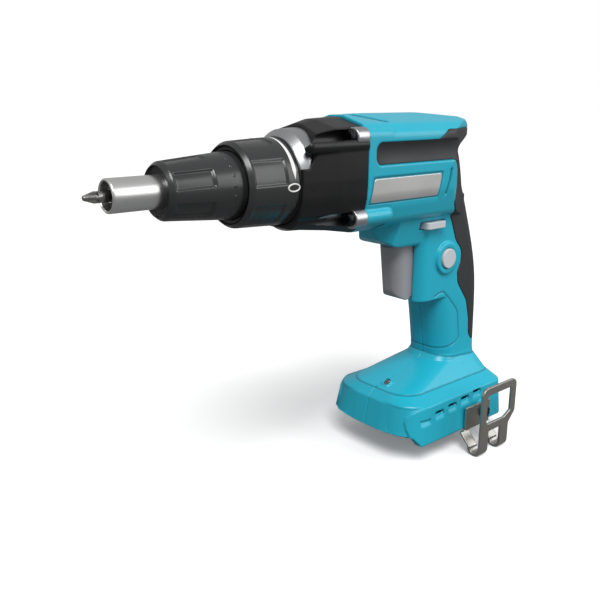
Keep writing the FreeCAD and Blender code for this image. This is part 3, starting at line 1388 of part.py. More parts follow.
def switch_body():
    box = block(
        SWITCH_REAR_X, SWITCH_FRONT_X, -SWITCH_HALF_WIDTH, SWITCH_HALF_WIDTH, SWITCH_LOW_Z, SWITCH_TOP_Z
    )
    bore = PLUNGER_RADIUS + RUNNING_CLEARANCE
    pivot = LEVER_PIN_RADIUS + RUNNING_CLEARANCE
    well = lock_stem_tip() - LOCK_TRAVEL - SLIDING_CLEARANCE
    wide = SWITCH_HALF_WIDTH + OVERRUN
    cuts = [
        rod_x(SWITCH_FRONT_X - PLUNGER_DEPTH, SWITCH_FRONT_X + OVERRUN, bore, 0, PLUNGER_Z),
        rod_z(SWITCH_TOP_Z - LEVER_PIN_DEPTH, SWITCH_TOP_Z + OVERRUN, pivot, LEVER_PIVOT_X, 0),
        rod_y(well, wide, LOCK_STEM_RADIUS + SLIDING_CLEARANCE, LOCK_X, LOCK_Z),
    ]
    return box.cut(cuts)


def switch_plunger():
    rear = SWITCH_FRONT_X - PLUNGER_DEPTH + TRIGGER_TRAVEL + 2 * SLIDING_CLEARANCE
    return rod_x(rear, TRIGGER_REAR_X, PLUNGER_RADIUS, 0, PLUNGER_Z)


def trigger_spring():
    start = at(SWITCH_FRONT_X + TRIGGER_SPRING_WIRE, 0, PLUNGER_Z)
    length = TRIGGER_REAR_X - SWITCH_FRONT_X - 2 * TRIGGER_SPRING_WIRE
    return spring_wire(
        start, FORWARD, SIDEWAYS, TRIGGER_SPRING_RADIUS, TRIGGER_SPRING_WIRE, TRIGGER_SPRING_TURNS, length
    )


def lock_stem_tip():
    return SWITCH_HALF_WIDTH + SLIDING_CLEARANCE


def lock_flange_y():
    return CASE_HALF_WIDTH - HOUSING_WALL - SLIDING_CLEARANCE


def lock_button():
    face = CASE_HALF_WIDTH + LOCK_COLLAR + LOCK_PROUD
    cap = rod_y(lock_flange_y() - LOCK_FLANGE, face, LOCK_RADIUS, LOCK_X, LOCK_Z)
    flange = rod_y(lock_flange_y() - LOCK_FLANGE, lock_flange_y(), LOCK_RADIUS + LOCK_FLANGE, LOCK_X, LOCK_Z)
    stem = rod_y(lock_stem_tip(), lock_flange_y(), LOCK_STEM_RADIUS, LOCK_X, LOCK_Z)
    return joined([cap, flange, stem])


def reversing_lever():
    low, high = LEVER_Z - LEVER_HEIGHT / 2, LEVER_Z + LEVER_HEIGHT / 2
    half = LEVER_LENGTH / 2
    bar = floor_prism(
        rectangle(LEVER_X - half, LEVER_X + half, -LEVER_HALF_SPAN, LEVER_HALF_SPAN, LEVER_CORNER), low, high
    )
    neck = block(LEVER_PIVOT_X, LEVER_X, -LEVER_NECK / 2, LEVER_NECK / 2, low, high)
    hub = rod_z(low, high, LEVER_HUB_RADIUS, LEVER_PIVOT_X, 0)
    pin = rod_z(SWITCH_TOP_Z - LEVER_PIN_DEPTH + SLIDING_CLEARANCE, low, LEVER_PIN_RADIUS, LEVER_PIVOT_X, 0)
    return joined([bar, neck, hub, pin])


# Electronics in the base


def controller():
    half = CONTROLLER_HALF_WIDTH
    return block(CONTROLLER_REAR_X, CONTROLLER_FRONT_X, -half, half, BAY_TOP_Z, BAY_TOP_Z + CONTROLLER_HEIGHT)


def terminal_block():
    half = TERMINAL_HALF_WIDTH
    return block(TERMINAL_REAR_X, TERMINAL_FRONT_X, -half, half, BAY_HEIGHT - TERMINAL_HEIGHT, BAY_HEIGHT)


def terminal_blades():
    low = BAY_HEIGHT - TERMINAL_HEIGHT / 2 - BLADE_HEIGHT / 2
    blades = []
    front = TERMINAL_FRONT_X + BLADE_LENGTH
    half = BLADE_THICKNESS / 2
    for side in (-1, 0, 1):
        y = side * BLADE_SPAN
        blades.append(block(TERMINAL_FRONT_X, front, y - half, y + half, low, low + BLADE_HEIGHT))
    return Part.makeCompound(blades)


def lamp_lens():
    return lamp_rod(LAMP_RADIUS, LAMP_HOOD_RISE / 2 - LAMP_LENGTH, LAMP_HOOD_RISE / 2)


def lamp_board():
    top = LAMP_HOOD_RISE / 2 - LAMP_LENGTH
    return lamp_rod(LAMP_HOOD_RADIUS, top - LAMP_BOARD, top)


# Belt hook


def belt_hook():
    rear = HOOK_FRONT_X - HOOK_LEG_SPAN
    outer_y = HOOK_OUTER_Y - HOOK_STRIP
    middle = (HOOK_BEND_Y + HOOK_OUTER_Y) / 2
    bend = HOOK_OUTER_Y - middle
    seat_y = HOOK_SEAT_Y + HOOK_STRIP
    legs = ((HOOK_FRONT_X - HOOK_LEG, HOOK_FRONT_X), (rear, rear + HOOK_LEG))
    slant = [
        (HOOK_SEAT_Y, 0, 0), (seat_y, 0, 0),
        (HOOK_BEND_Y + HOOK_STRIP, HOOK_BEND_Z, 0), (HOOK_BEND_Y, HOOK_BEND_Z, 0),
    ]
    shapes = [block(rear, HOOK_FRONT_X - HOOK_PLATE_STEP, HOOK_SEAT_Y, seat_y, 0, HOOK_PLATE_TOP_Z)]
    for x0, x1 in legs:
        shapes.append(front_prism(slant, x0, x1))
        turn = rod_x(x0, x1, bend, middle, HOOK_BEND_Z)
        turn = turn.cut(rod_x(x0 - OVERRUN, x1 + OVERRUN, bend - HOOK_STRIP, middle, HOOK_BEND_Z))
        shapes.append(turn.common(block(x0, x1, HOOK_BEND_Y, HOOK_OUTER_Y, HOOK_BEND_Z - bend, HOOK_BEND_Z)))
    flare = rear - HOOK_FLARE
    frame = side_prism([
        (HOOK_FRONT_X, HOOK_BEND_Z, 0), (HOOK_FRONT_X, HOOK_TOP_Z, HOOK_CORNER),
        (flare, HOOK_TOP_Z, HOOK_CORNER), (flare, HOOK_FLARE_Z, HOOK_STRIP),
        (rear, HOOK_CROSS_LOW_Z, HOOK_STRIP), (rear, HOOK_BEND_Z, 0),
    ], outer_y, HOOK_OUTER_Y)
    sill = HOOK_CROSS_LOW_Z + HOOK_BAR
    window_front, window_rear = HOOK_FRONT_X - HOOK_BAR, flare + HOOK_BAR
    window_top = HOOK_TOP_Z - HOOK_BAR
    window = side_prism([
        (window_front, sill, HOOK_STRIP), (window_front, window_top, HOOK_STRIP),
        (window_rear, window_top, HOOK_STRIP), (window_rear, HOOK_FLARE_Z + HOOK_STRIP, HOOK_STRIP),
        (rear + HOOK_BAR, sill, HOOK_STRIP),
    ], outer_y - OVERRUN, HOOK_OUTER_Y + OVERRUN)
    gap = block(
        rear + HOOK_LEG, HOOK_FRONT_X - HOOK_LEG, outer_y - OVERRUN, HOOK_OUTER_Y + OVERRUN,
        HOOK_BEND_Z - OVERRUN, HOOK_CROSS_LOW_Z,
    )
    shapes.append(frame.cut([window, gap]))
    hole = rod_y(0, HOOK_SEAT_Y + OVERRUN, HOOK_SCREW_RADIUS + FIT_GAP, HOOK_SCREW_X, HOOK_SCREW_Z)
    return joined(shapes).cut(hole)


def hook_screw():
    seat = HOOK_SEAT_Y + HOOK_STRIP
    shank = rod_y(HOOK_SEAT_Y - INSERT_LENGTH, seat, HOOK_SCREW_RADIUS, HOOK_SCREW_X, HOOK_SCREW_Z)
    head = rod_y(seat, seat + SCREW_HEAD_HEIGHT, SCREW_HEAD_RADIUS, HOOK_SCREW_X, HOOK_SCREW_Z)
    slot = block(
        HOOK_SCREW_X - SCREW_HEAD_RADIUS - FIT_GAP, HOOK_SCREW_X + SCREW_HEAD_RADIUS + FIT_GAP,
        seat + SCREW_HEAD_HEIGHT - SCREW_CROSS_DEPTH, seat + SCREW_HEAD_HEIGHT + FIT_GAP,
        HOOK_SCREW_Z - SCREW_CROSS_WIDTH / 2, HOOK_SCREW_Z + SCREW_CROSS_WIDTH / 2,
    )
    return shank.fuse(head).cut(slot)


def hook_inserts():
    bore = HOOK_SCREW_RADIUS + RUNNING_CLEARANCE
    rods = insert_rods(INSERT_RADIUS - PRESS_GAP)
    hole = rod_y(-HOOK_SEAT_Y - OVERRUN, HOOK_SEAT_Y + OVERRUN, bore, HOOK_SCREW_X, HOOK_SCREW_Z)
    return Part.makeCompound([rod.cut(hole) for rod in rods])


def lock_spring():
    start = at(LOCK_X, SWITCH_HALF_WIDTH + LOCK_SPRING_WIRE, LOCK_Z)
    length = lock_flange_y() - LOCK_FLANGE - SWITCH_HALF_WIDTH - 2 * LOCK_SPRING_WIRE
    return spring_wire(
        start, SIDEWAYS, UPWARD, LOCK_SPRING_RADIUS, LOCK_SPRING_WIRE, LOCK_SPRING_TURNS, length
    )


def all_pieces():
    pieces = housing_pieces()
    pieces.update({
        "housing_screws": housing_screws(),
        "gear_housing": gear_housing(),
        "gear_housing_cover": gear_housing_cover(),
        "cover_screws": cover_screws(),
        "adjust_ring": adjust_ring(),
        "nose_casing": nose_casing(),
        "snap_ring": snap_ring(),
        "locator": locator(),
        "nose_sleeve": nose_sleeve(),
        "driver_bit": driver_bit(),
        "spindle": spindle(),
        "bit_magnet": bit_magnet(),
        "clutch_cam": clutch_cam(),
        "thrust_washer": thrust_washer(),
        "spindle_bush": spindle_bush(),
        "clutch_spring": clutch_spring(),
        "sun_pinion": sun_pinion(),
        "planet_pins": planet_pins(),
        "carrier": carrier(),
        "ring_gear": ring_gear(),
        "bearing_bracket": bearing_bracket(),
        "front_bearing": bearing(BODY_FRONT_X),
        "rear_bearing": bearing(REAR_BEARING_X),
        "rotor_shaft": rotor_shaft(),
        "rotor_core": rotor_core(),
        "rotor_magnet": rotor_magnet(),
        "stator_core": stator_core(),
        "stator_windings": stator_windings(),
        "sensor_board": sensor_board(),
        "cooling_fan": cooling_fan(),
        "trigger": trigger(),
        "switch_body": switch_body(),
        "switch_plunger": switch_plunger(),
        "trigger_spring": trigger_spring(),
        "lock_button": lock_button(),
        "lock_spring": lock_spring(),
        "reversing_lever": reversing_lever(),
        "controller": controller(),
        "terminal_block": terminal_block(),
        "terminal_blades": terminal_blades(),
        "lamp_lens": lamp_lens(),
        "lamp_board": lamp_board(),
        "belt_hook": belt_hook(),
        "hook_screw": hook_screw(),
        "hook_inserts": hook_inserts(),
    })
    for index, angle in enumerate(PLANET_ANGLES):
        pieces["planet_gear_%d" % (index + 1)] = planet_gear(angle)
    return pieces


os.makedirs("parts", exist_ok=True)
for node, piece in all_pieces().items():
    piece.exportStep("parts/%s.step" % node)
    print(node, "solids", len(piece.Solids), "volume", round(piece.Volume, 1), "valid", piece.isValid())
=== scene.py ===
"""Cordless drywall screwdriver: moulded shells, turned nose, fasteners, finishes, studio and camera.

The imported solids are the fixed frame. Sizes in this file are millimetres, and mm() turns them to metres.
+X points along the bit, +Y to the tool's left and +Z up.
"""
import logging
import math
from dataclasses import dataclass
from enum import Enum
from typing import Mapping, Sequence

import bmesh
import bpy
import numpy as np
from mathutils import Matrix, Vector


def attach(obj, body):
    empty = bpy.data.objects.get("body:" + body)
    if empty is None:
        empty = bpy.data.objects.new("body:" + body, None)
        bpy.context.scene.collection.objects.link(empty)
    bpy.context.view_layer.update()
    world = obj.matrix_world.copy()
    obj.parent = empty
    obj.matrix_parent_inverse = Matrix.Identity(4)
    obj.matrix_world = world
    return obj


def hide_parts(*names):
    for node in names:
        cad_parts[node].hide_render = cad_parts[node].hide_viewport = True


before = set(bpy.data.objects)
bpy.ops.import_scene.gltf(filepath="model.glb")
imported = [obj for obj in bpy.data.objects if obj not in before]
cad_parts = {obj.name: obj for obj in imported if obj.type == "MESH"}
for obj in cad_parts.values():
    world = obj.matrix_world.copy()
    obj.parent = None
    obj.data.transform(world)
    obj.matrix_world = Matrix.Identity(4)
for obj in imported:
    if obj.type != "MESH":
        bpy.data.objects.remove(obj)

LOG = logging.getLogger("screwdriver")
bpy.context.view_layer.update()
AXIS_Z = 170.0
WHITE = (1.0, 1.0, 1.0, 1.0)
PER_METRE = 1000
# The point attribute that carries painted shade: how far pressed lines and shaded front faces are darkened in
# their colour.
PAINTED_SHADE = "painted_shade"
# How many times longer than wide the grain runs on brushed, turned and stacked metal.
BRUSHED_RUN, TURNED_RUN, STACKED_RUN = 60, 90, 30
# Corners closer than this are one; each smoothing pass moves a point by this share.
WELD_MM = 0.001
SMOOTHING = 0.5
# The share of a side that a corner's rounding may take up, and the points along it.
CORNER_SHARE, CORNER_POINTS = 0.49, 6
# The width in millimetres over which a shaded front face fades.
SHADE_EDGE = 0.4

Spot = tuple[float, float, float]
Path = tuple[tuple[float, float], ...]


def mm(length: float) -> float:
    """Returns a length in millimetres as metres."""
    return length * 0.001


def linear(colour: str) -> tuple[float, float, float, float]:
    """Turns an sRGB hex colour into linear RGBA.

    Args:
        colour: Six hex digits after a number sign.

    Returns:
        Linear red, green, blue and an alpha of one.
    """
    values = [int(colour[i:i + 2], 16) / 255 for i in (1, 3, 5)]
    red, green, blue = [v / 12.92 if v <= 0.04045 else ((v + 0.055) / 1.055) ** 2.4 for v in values]
    return red, green, blue, 1.0


def add(
    tree: bpy.types.NodeTree, kind: str, settings: Mapping[str, object] | None = None,
    inputs: Mapping[str | int, object] | None = None,
) -> bpy.types.Node:
    """Adds one node with its settings, its values and its links.

    Args:
        tree: The node tree that takes the node.
        kind: The node's type name.
        settings: Properties of the node.
        inputs: Input sockets by name or number; a socket as value makes a link.

    Returns:
        The new node.
    """
    node = tree.nodes.new(kind)
    for name, value in (settings or {}).items():
        setattr(node, name, value)
    for key, value in (inputs or {}).items():
        if isinstance(value, bpy.types.NodeSocket):
            tree.links.new(value, node.inputs[key])
        else:
            node.inputs[key].default_value = value
    return node


class Grain(Enum):
    """How a surface was made, which gives its fine relief."""

    MOULDED = "spark eroded mould"
    BRUSHED = "brushed along X"
    TURNED = "turned about X"
    STACKED = "laminated or wound along X"


@dataclass(frozen=True)
class Finish:
    """One real surface: its two tones, its gloss and its grain."""

    name: str
    colour: str
    shade: str
    tone_mm: float
    metallic: float
    roughness: float
    swing: float
    grain: Grain
    grain_mm: float
    relief_mm: float
    transmission: float = 0.0
    # The colour that painted shade darkens towards, in pressed lines and shaded faces.
    painted_shade: str = "#101214"
    specular: float = 0.5

    def grain_scale(self) -> tuple[float, float, float]:
        """Returns the grain's repeats per metre along X, Y and Z."""
        fine = PER_METRE / self.grain_mm
        if self.grain is Grain.BRUSHED:
            return fine / BRUSHED_RUN, fine, fine
        if self.grain is Grain.TURNED:
            return fine, fine / TURNED_RUN, fine / TURNED_RUN
        if self.grain is Grain.STACKED:
            return fine, fine / STACKED_RUN, fine / STACKED_RUN
        return fine, fine, fine

    def material(self) -> bpy.types.Material:
        """Builds the material once.

        Returns:
            The material with this finish's name.
        """
        known = bpy.data.materials.get(self.name)
        if known:
            return known
        made = bpy.data.materials.new(self.name)
        made.use_nodes = True
        tree = made.node_tree
        tree.nodes.clear()
        place = add(tree, "ShaderNodeTexCoord").outputs["Object"]
        drift = add(tree, "ShaderNodeTexNoise", inputs={
            "Vector": place, "Scale": PER_METRE / self.tone_mm, "Detail": 3.0, "Roughness": 0.55,
        })
        tone = add(tree, "ShaderNodeMix", {"data_type": "RGBA"}, {
            0: drift.outputs["Fac"], 6: linear(self.colour), 7: linear(self.shade),
        })
        # Painted shade: the point attribute mixes the colour towards the shade colour.
        shade_amount = add(tree, "ShaderNodeAttribute", {"attribute_name": PAINTED_SHADE})
        colour = add(tree, "ShaderNodeMix", {"data_type": "RGBA"}, {
            0: shade_amount.outputs["Fac"], 6: tone.outputs[2], 7: linear(self.painted_shade),
        })
        gloss = add(tree, "ShaderNodeMapRange", inputs={
            "Value": drift.outputs["Fac"], "From Min": 0.3, "From Max": 0.7,
            "To Min": self.roughness - self.swing, "To Max": self.roughness + self.swing,
        })
        stretch = add(tree, "ShaderNodeMapping", inputs={"Vector": place, "Scale": self.grain_scale()})
        relief = add(tree, "ShaderNodeTexNoise", inputs={
            "Vector": stretch.outputs["Vector"], "Scale": 1.0, "Detail": 2.0, "Roughness": 0.6,
        })
        bump = add(tree, "ShaderNodeBump", inputs={
            "Height": relief.outputs["Fac"], "Strength": 1.0, "Distance": mm(self.relief_mm),
        })
        shader = add(tree, "ShaderNodeBsdfPrincipled", inputs={
            "Base Color": colour.outputs[2], "Metallic": self.metallic, "Roughness": gloss.outputs["Result"],
            "Normal": bump.outputs["Normal"], "Transmission Weight": self.transmission,
            "Specular IOR Level": self.specular,
        })
        add(tree, "ShaderNodeOutputMaterial", inputs={"Surface": shader.outputs["BSDF"]})
        return made


# Glass-filled nylon from an eroded mould: even cyan colour, a soft sheen and a fine grain.
# The grain is drawn at 0.7 mm, coarser than the real one, so that it shows.
# Its pressed lines take a dark teal painted shade.
TEAL_NYLON = Finish("glass_filled_nylon_teal", "#24b2cb", "#1ea6be", 60, 0, 0.29, 0.04, Grain.MOULDED, 0.7,
                    0.012, painted_shade="#0a3640", specular=0.42)
# Over-moulded elastomer: dark grey, nearly matt, with a fine eroded grain.
ELASTOMER = Finish("elastomer_charcoal", "#2c2d2f", "#262729", 30, 0, 0.56, 0.06, Grain.MOULDED, 0.9, 0.03)
# Nylon cover from a polished mould: black, half gloss.
COVER_NYLON = Finish("nylon_black_half_gloss", "#141516", "#19191a", 35, 0, 0.38, 0.05, Grain.MOULDED, 0.8,
                     0.014, specular=0.3)
# Polycarbonate nose parts: charcoal, satin, softly blended highlights.
# Its front faces take a near black painted shade.
NOSE_PLASTIC = Finish("polycarbonate_charcoal_satin", "#303132", "#2b2c2d", 30, 0, 0.27, 0.04, Grain.MOULDED,
                      0.8, 0.008, painted_shade="#060606", specular=0.6)
# Die cast aluminium, tumbled: pale grey metal with a faint cloud and a soft sheen.
CAST_ALUMINIUM = Finish("die_cast_aluminium", "#bcbdbf", "#aeafb1", 18, 1, 0.36, 0.06, Grain.MOULDED, 1.0,
                        0.02)
# Turned steel sleeve, satin: pale, with soft broad highlights and fine rings round the axis.
SATIN_STEEL = Finish("turned_steel_satin", "#e6e6e5", "#dadad9", 25, 1, 0.34, 0.04, Grain.TURNED, 0.5, 0.006)
# Turned steel, polished: bright, with fine rings round the axis.
TURNED_STEEL = Finish("turned_steel_bright", "#d3d4d4", "#c6c7c7", 25, 1, 0.2, 0.04, Grain.TURNED, 0.5, 0.004)
# Brushed aluminium plate, bare: pale, with long fine lines.
BRUSHED_PLATE = Finish("brushed_aluminium_plate", "#e0e0df", "#d4d4d3", 20, 1, 0.46, 0.05, Grain.BRUSHED,
                       0.35, 0.01)
# Spring steel strip, tumbled: warm grey with a satin surface.
STRIP_STEEL = Finish("spring_steel_strip_satin", "#c2bfb9", "#aeaba5", 14, 1, 0.34, 0.08, Grain.MOULDED, 0.9,
                     0.02)
# Black oxide on screw steel: almost black, with a small glint.
BLACK_OXIDE = Finish("screw_steel_black_oxide", "#26272a", "#1d1e20", 6, 0.8, 0.35, 0.06, Grain.MOULDED, 0.5,
                     0.008)
# Hardened bit steel: dark, ground smooth.
BIT_STEEL = Finish("bit_steel_hardened", "#a5a3a0", "#8b8986", 6, 1, 0.25, 0.05, Grain.TURNED, 0.5, 0.006)
# ABS trigger from a polished mould: mid grey and glossy.
GREY_ABS = Finish("abs_mid_grey_gloss", "#9a9ca0", "#929498", 24, 0, 0.26, 0.04, Grain.MOULDED, 0.8, 0.006)
# ABS buttons: pale cool grey and glossy.
PALE_ABS = Finish("abs_pale_grey_gloss", "#cdd0d6", "#c4c7cd", 16, 0, 0.28, 0.03, Grain.MOULDED, 0.8, 0.006)
# Pad printed white ink: flat and even.
WHITE_INK = Finish("pad_print_white", "#f2f2f0", "#eaeae8", 8, 0, 0.5, 0.03, Grain.MOULDED, 0.6, 0.004)
# Polished polycarbonate lens: clear, so that the dark well below it shows, with one sharp glint.
CLEAR_LENS = Finish("polycarbonate_clear", "#e4edf5", "#d8e2ea", 5, 0, 0.08, 0.02, Grain.MOULDED, 1.0, 0.002,
                    transmission=0.9)
# Inner pieces: each with the tone and the marks of its making.
GEAR_STEEL = Finish("sintered_gear_steel", "#8e8c88", "#7c7a77", 8, 1, 0.45, 0.06, Grain.MOULDED, 0.6, 0.02)
BEARING_STEEL = Finish("ground_bearing_steel", "#c4c5c7", "#b6b7b9", 12, 1, 0.18, 0.03, Grain.TURNED, 0.5,
                       0.004)
SPRING_WIRE = Finish("drawn_spring_wire", "#9a9894", "#85837f", 6, 1, 0.3, 0.05, Grain.MOULDED, 0.5, 0.008)
BRONZE = Finish("sintered_bronze", "#a8814f", "#946f41", 7, 1, 0.48, 0.06, Grain.MOULDED, 0.6, 0.02)
BRASS = Finish("turned_brass", "#c7a55a", "#b5944c", 7, 1, 0.28, 0.05, Grain.TURNED, 0.5, 0.008)
MAGNET = Finish("nickel_plated_magnet", "#8f9093", "#808184", 9, 1, 0.3, 0.05, Grain.MOULDED, 0.7, 0.01)
LAMINATION = Finish("electrical_steel_laminations", "#77787c", "#5f6064", 9, 1, 0.42, 0.06, Grain.STACKED,
                    0.5, 0.05)
COPPER = Finish("enamelled_copper_wire", "#b4622f", "#8f4a22", 5, 1, 0.3, 0.05, Grain.STACKED, 0.9, 0.12)
BOARD = Finish("circuit_board_green", "#1c5a34", "#17492b", 8, 0, 0.35, 0.05, Grain.MOULDED, 1.2, 0.02)
POTTING = Finish("potting_resin_black", "#2a2b2d", "#232426", 12, 0, 0.4, 0.08, Grain.MOULDED, 2.0, 0.03)
INNER_NYLON = Finish("nylon_black_inner", "#232425", "#2a2b2c", 14, 0, 0.5, 0.05, Grain.MOULDED, 0.8, 0.02)

INNER_FINISHES: dict[str, Finish] = {
    "nose_casing": CAST_ALUMINIUM, "snap_ring": SPRING_WIRE, "spindle": TURNED_STEEL, "bit_magnet": MAGNET,
    "clutch_cam": TURNED_STEEL, "clutch_spring": SPRING_WIRE, "thrust_washer": TURNED_STEEL,
    "spindle_bush": BRONZE, "carrier": GEAR_STEEL, "planet_pins": BEARING_STEEL, "planet_gear_1": GEAR_STEEL,
    "planet_gear_2": GEAR_STEEL, "planet_gear_3": GEAR_STEEL, "sun_pinion": GEAR_STEEL,
    "ring_gear": GEAR_STEEL, "bearing_bracket": CAST_ALUMINIUM, "front_bearing": BEARING_STEEL,
    "rear_bearing": BEARING_STEEL, "rotor_shaft": TURNED_STEEL, "rotor_core": LAMINATION,
    "rotor_magnet": MAGNET, "stator_core": LAMINATION, "stator_windings": COPPER, "sensor_board": BOARD,
    "cooling_fan": INNER_NYLON, "switch_body": INNER_NYLON, "switch_plunger": BRASS,
    "trigger_spring": SPRING_WIRE, "lock_spring": SPRING_WIRE, "controller": POTTING,
    "terminal_block": INNER_NYLON, "terminal_blades": BRASS, "lamp_board": BOARD, "hook_inserts": BRASS,
}


@dataclass(frozen=True)
class Fairing:
    """A closed strip behind a thin skin or over a ledge.

    Each station is a place across the tool, with the outer skin's place below and above.
    """

    stations: tuple[Spot, ...]
    low: float
    high: float
    back: float

    def add(self, work: bmesh.types.BMesh, side: int) -> None:
        """Adds the strip to a mesh in the making.

        Args:
            work: The mesh in the making.
            side: 1 for the tool's left, -1 for its right.
        """
        rows = []
        for across, under, over in self.stations:
            corners = ((under, self.low), (over, self.high),
                       (over + self.back, self.high), (under + self.back, self.low))
            rows.append([work.verts.new((mm(x), mm(side * across), mm(z))) for x, z in corners])
        for first, second in zip(rows, rows[1:]):
            for here in range(len(first)):
                work.faces.new((first[here - 1], first[here], second[here], second[here - 1]))
        work.faces.new(rows[0])
        work.faces.new(rows[-1])


def merged(node: str, fairings: Sequence[Fairing], side: int) -> bpy.types.Mesh:
    """Copies a solid of the frame into a mesh whose triangles share their corners.

    Args:
        node: The name of the frame's node.
        fairings: Strips to add to it.
        side: The side that the strips are on, 1 for the left.

    Returns:
        A new mesh.
    """
    work = bmesh.new()
    work.from_mesh(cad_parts[node].data)
    for fairing in fairings:
        fairing.add(work, side)
    bmesh.ops.remove_doubles(work, verts=work.verts, dist=mm(WELD_MM))
    mesh = bpy.data.meshes.new("merged")
    work.to_mesh(mesh)
    work.free()
    return mesh


def applied(mesh: bpy.types.Mesh, modifiers: Sequence[tuple[str, Mapping[str, object]]]) -> bpy.types.Mesh:
    """Runs modifiers over a mesh.

    Args:
        mesh: The mesh to start from.
        modifiers: Each modifier's type and its properties, in order.

    Returns:
        The result as a plain mesh.
    """
    holder = bpy.data.objects.new("bench", mesh)
    bpy.context.scene.collection.objects.link(holder)
    for kind, values in modifiers:
        modifier = holder.modifiers.new(kind.lower(), kind)
        for name, value in values.items():
            setattr(modifier, name, value)
    graph = bpy.context.evaluated_depsgraph_get()
    result = bpy.data.meshes.new_from_object(holder.evaluated_get(graph))
    bpy.data.objects.remove(holder)
    bpy.data.meshes.remove(mesh)
    return result


def coordinates(mesh: bpy.types.Mesh) -> tuple[np.ndarray, np.ndarray]:
    """Reads a mesh's points and normals.

    Args:
        mesh: The mesh to read.

    Returns:
        Points in millimetres and unit normals, one row each.
    """
    points = np.empty(len(mesh.vertices) * 3)
    mesh.vertices.foreach_get("co", points)
    normals = np.empty(len(mesh.vertices) * 3)
    mesh.vertices.foreach_get("normal", normals)
    return points.reshape(-1, 3) * PER_METRE, normals.reshape(-1, 3)


def eased(value: np.ndarray) -> np.ndarray:
    """Returns a smooth step from 0 to 1 for values from 0 to 1."""
    bounded = np.clip(value, 0, 1)
    return bounded * bounded * (3 - 2 * bounded)


def path_distance(flat: np.ndarray, path: Path) -> np.ndarray:
    """Measures flat points from a line of straight runs.

    Args:
        flat: Points, two numbers a row.
        path: The line's corners.

    Returns:
        The distance of each point.
    """
    nearest = np.full(len(flat), np.inf)
    for start, end in zip(path[:-1], path[1:]):
        origin = np.array(start)
        run = np.array(end) - origin
        share = np.clip(((flat - origin) @ run) / (run @ run), 0, 1)
        nearest = np.minimum(nearest, np.linalg.norm(flat - origin - share[:, None] * run, axis=1))
    return nearest


@dataclass(frozen=True)
class Groove:
    """A thin line pressed into a moulded face and darkened with painted shade, seen from the side (X, Z) or
    from above (X, Y).
    """

    path: Path
    half_width: float
    depth: float
    centre: Spot
    from_above: bool = False
    # How much painted shade the line's middle takes.
    dark: float = 0.8
    reach: tuple[float, float] = (0.0, 60.0)
    wall: float = 1.0

    def press(self, points: np.ndarray, normals: np.ndarray) -> tuple[np.ndarray, np.ndarray]:
        """Works out the pressed line and its painted shade on a set of points.

        Args:
            points: Points in millimetres.
            normals: Their normals.

        Returns:
            How deep each point goes, and how much painted shade it takes.
        """
        flat = points[:, (0, 1)] if self.from_above else points[:, (0, 2)]
        flat = np.column_stack([flat[:, 0], np.abs(flat[:, 1])])
        near = eased((1 - path_distance(flat, self.path) / self.half_width) / self.wall)
        outward = np.einsum("ij,ij->i", points - np.array(self.centre), normals) > 0
        wide = np.abs(points[:, 1])
        held = outward & (wide >= self.reach[0]) & (wide <= self.reach[1])
        return self.depth * near * held, self.dark * near * held


@dataclass(frozen=True)
class Hollow:
    """A shallow scoop in the base's side, deepest along its upper edge."""

    middle: float
    length: float
    low: float
    high: float
    depth: float
    inner: float = 34.0
    ends: float = 1.2
    lip: float = 0.6

    def press(self, points: np.ndarray, normals: np.ndarray) -> tuple[np.ndarray, np.ndarray]:
        """Works out the scoop on a set of points; see Groove.press."""
        along = eased((self.length / 2 - np.abs(points[:, 0] - self.middle)) / self.ends)
        up = eased((points[:, 2] - self.low) / (self.high - self.low)) * (points[:, 2] < self.high + self.lip)
        outward = (normals[:, 1] * points[:, 1] > 0) & (np.abs(points[:, 1]) > self.inner)
        return self.depth * along * up * outward, np.zeros(len(points))


@dataclass(frozen=True)
class Step:
    """The base's front corner, set back from the flat side panel along a curved edge."""

    edge: Path
    depth: float
    blend: float
    top: float
    rear: float
    run: float
    inner: float = 8.0
    spread: float = 18.0

    def press(self, points: np.ndarray, normals: np.ndarray) -> tuple[np.ndarray, np.ndarray]:
        """Works out the step on a set of points; see Groove.press."""
        heights = [z for _, z in self.edge]
        places = [x for x, _ in self.edge]
        front = points[:, 0] > np.interp(points[:, 2], heights, places)
        away = path_distance(points[:, (0, 2)], self.edge)
        outward = np.einsum("ij,ij->i", points[:, :2], normals[:, :2]) > 0
        wide = eased((np.abs(points[:, 1]) - self.inner) / self.spread)
        fade = wide * eased((points[:, 0] - self.rear) / self.run)
        under = eased((self.top - points[:, 2]) / self.blend)
        near = eased(away / self.blend) * front * outward * fade * under
        return self.depth * near, np.zeros(len(points))


@dataclass(frozen=True)
class Dish:
    """A long finger rest, pressed in most along its middle."""

    rear: float
    front: float
    low: float
    high: float
    depth: float
    inner: float
    run: float = 8.0

    def press(self, points: np.ndarray, normals: np.ndarray) -> tuple[np.ndarray, np.ndarray]:
        """Works out the rest on a set of points; see Groove.press."""
        middle, half = (self.low + self.high) / 2, (self.high - self.low) / 2
        across = np.clip(1 - ((points[:, 2] - middle) / half) ** 2, 0, 1)
        ends = eased((points[:, 0] - self.rear) / self.run) * eased((self.front - points[:, 0]) / self.run)
        outward = (normals[:, 1] * points[:, 1] > 0) & (np.abs(points[:, 1]) > self.inner)
        return self.depth * across * ends * outward, np.zeros(len(points))


@dataclass(frozen=True)
class Band:
    """A dark band round a turned end, left by the shade of the piece next to it."""

    rear: float
    front: float
    dark: float
    run: float = 0.8

    def press(self, points: np.ndarray, normals: np.ndarray) -> tuple[np.ndarray, np.ndarray]:
        """Works out the band on a set of points; see Groove.press."""
        near = eased((points[:, 0] - self.rear) / self.run) * (points[:, 0] < self.front)
        return np.zeros(len(points)), self.dark * near


Pressing = Groove | Hollow | Step | Dish | Band


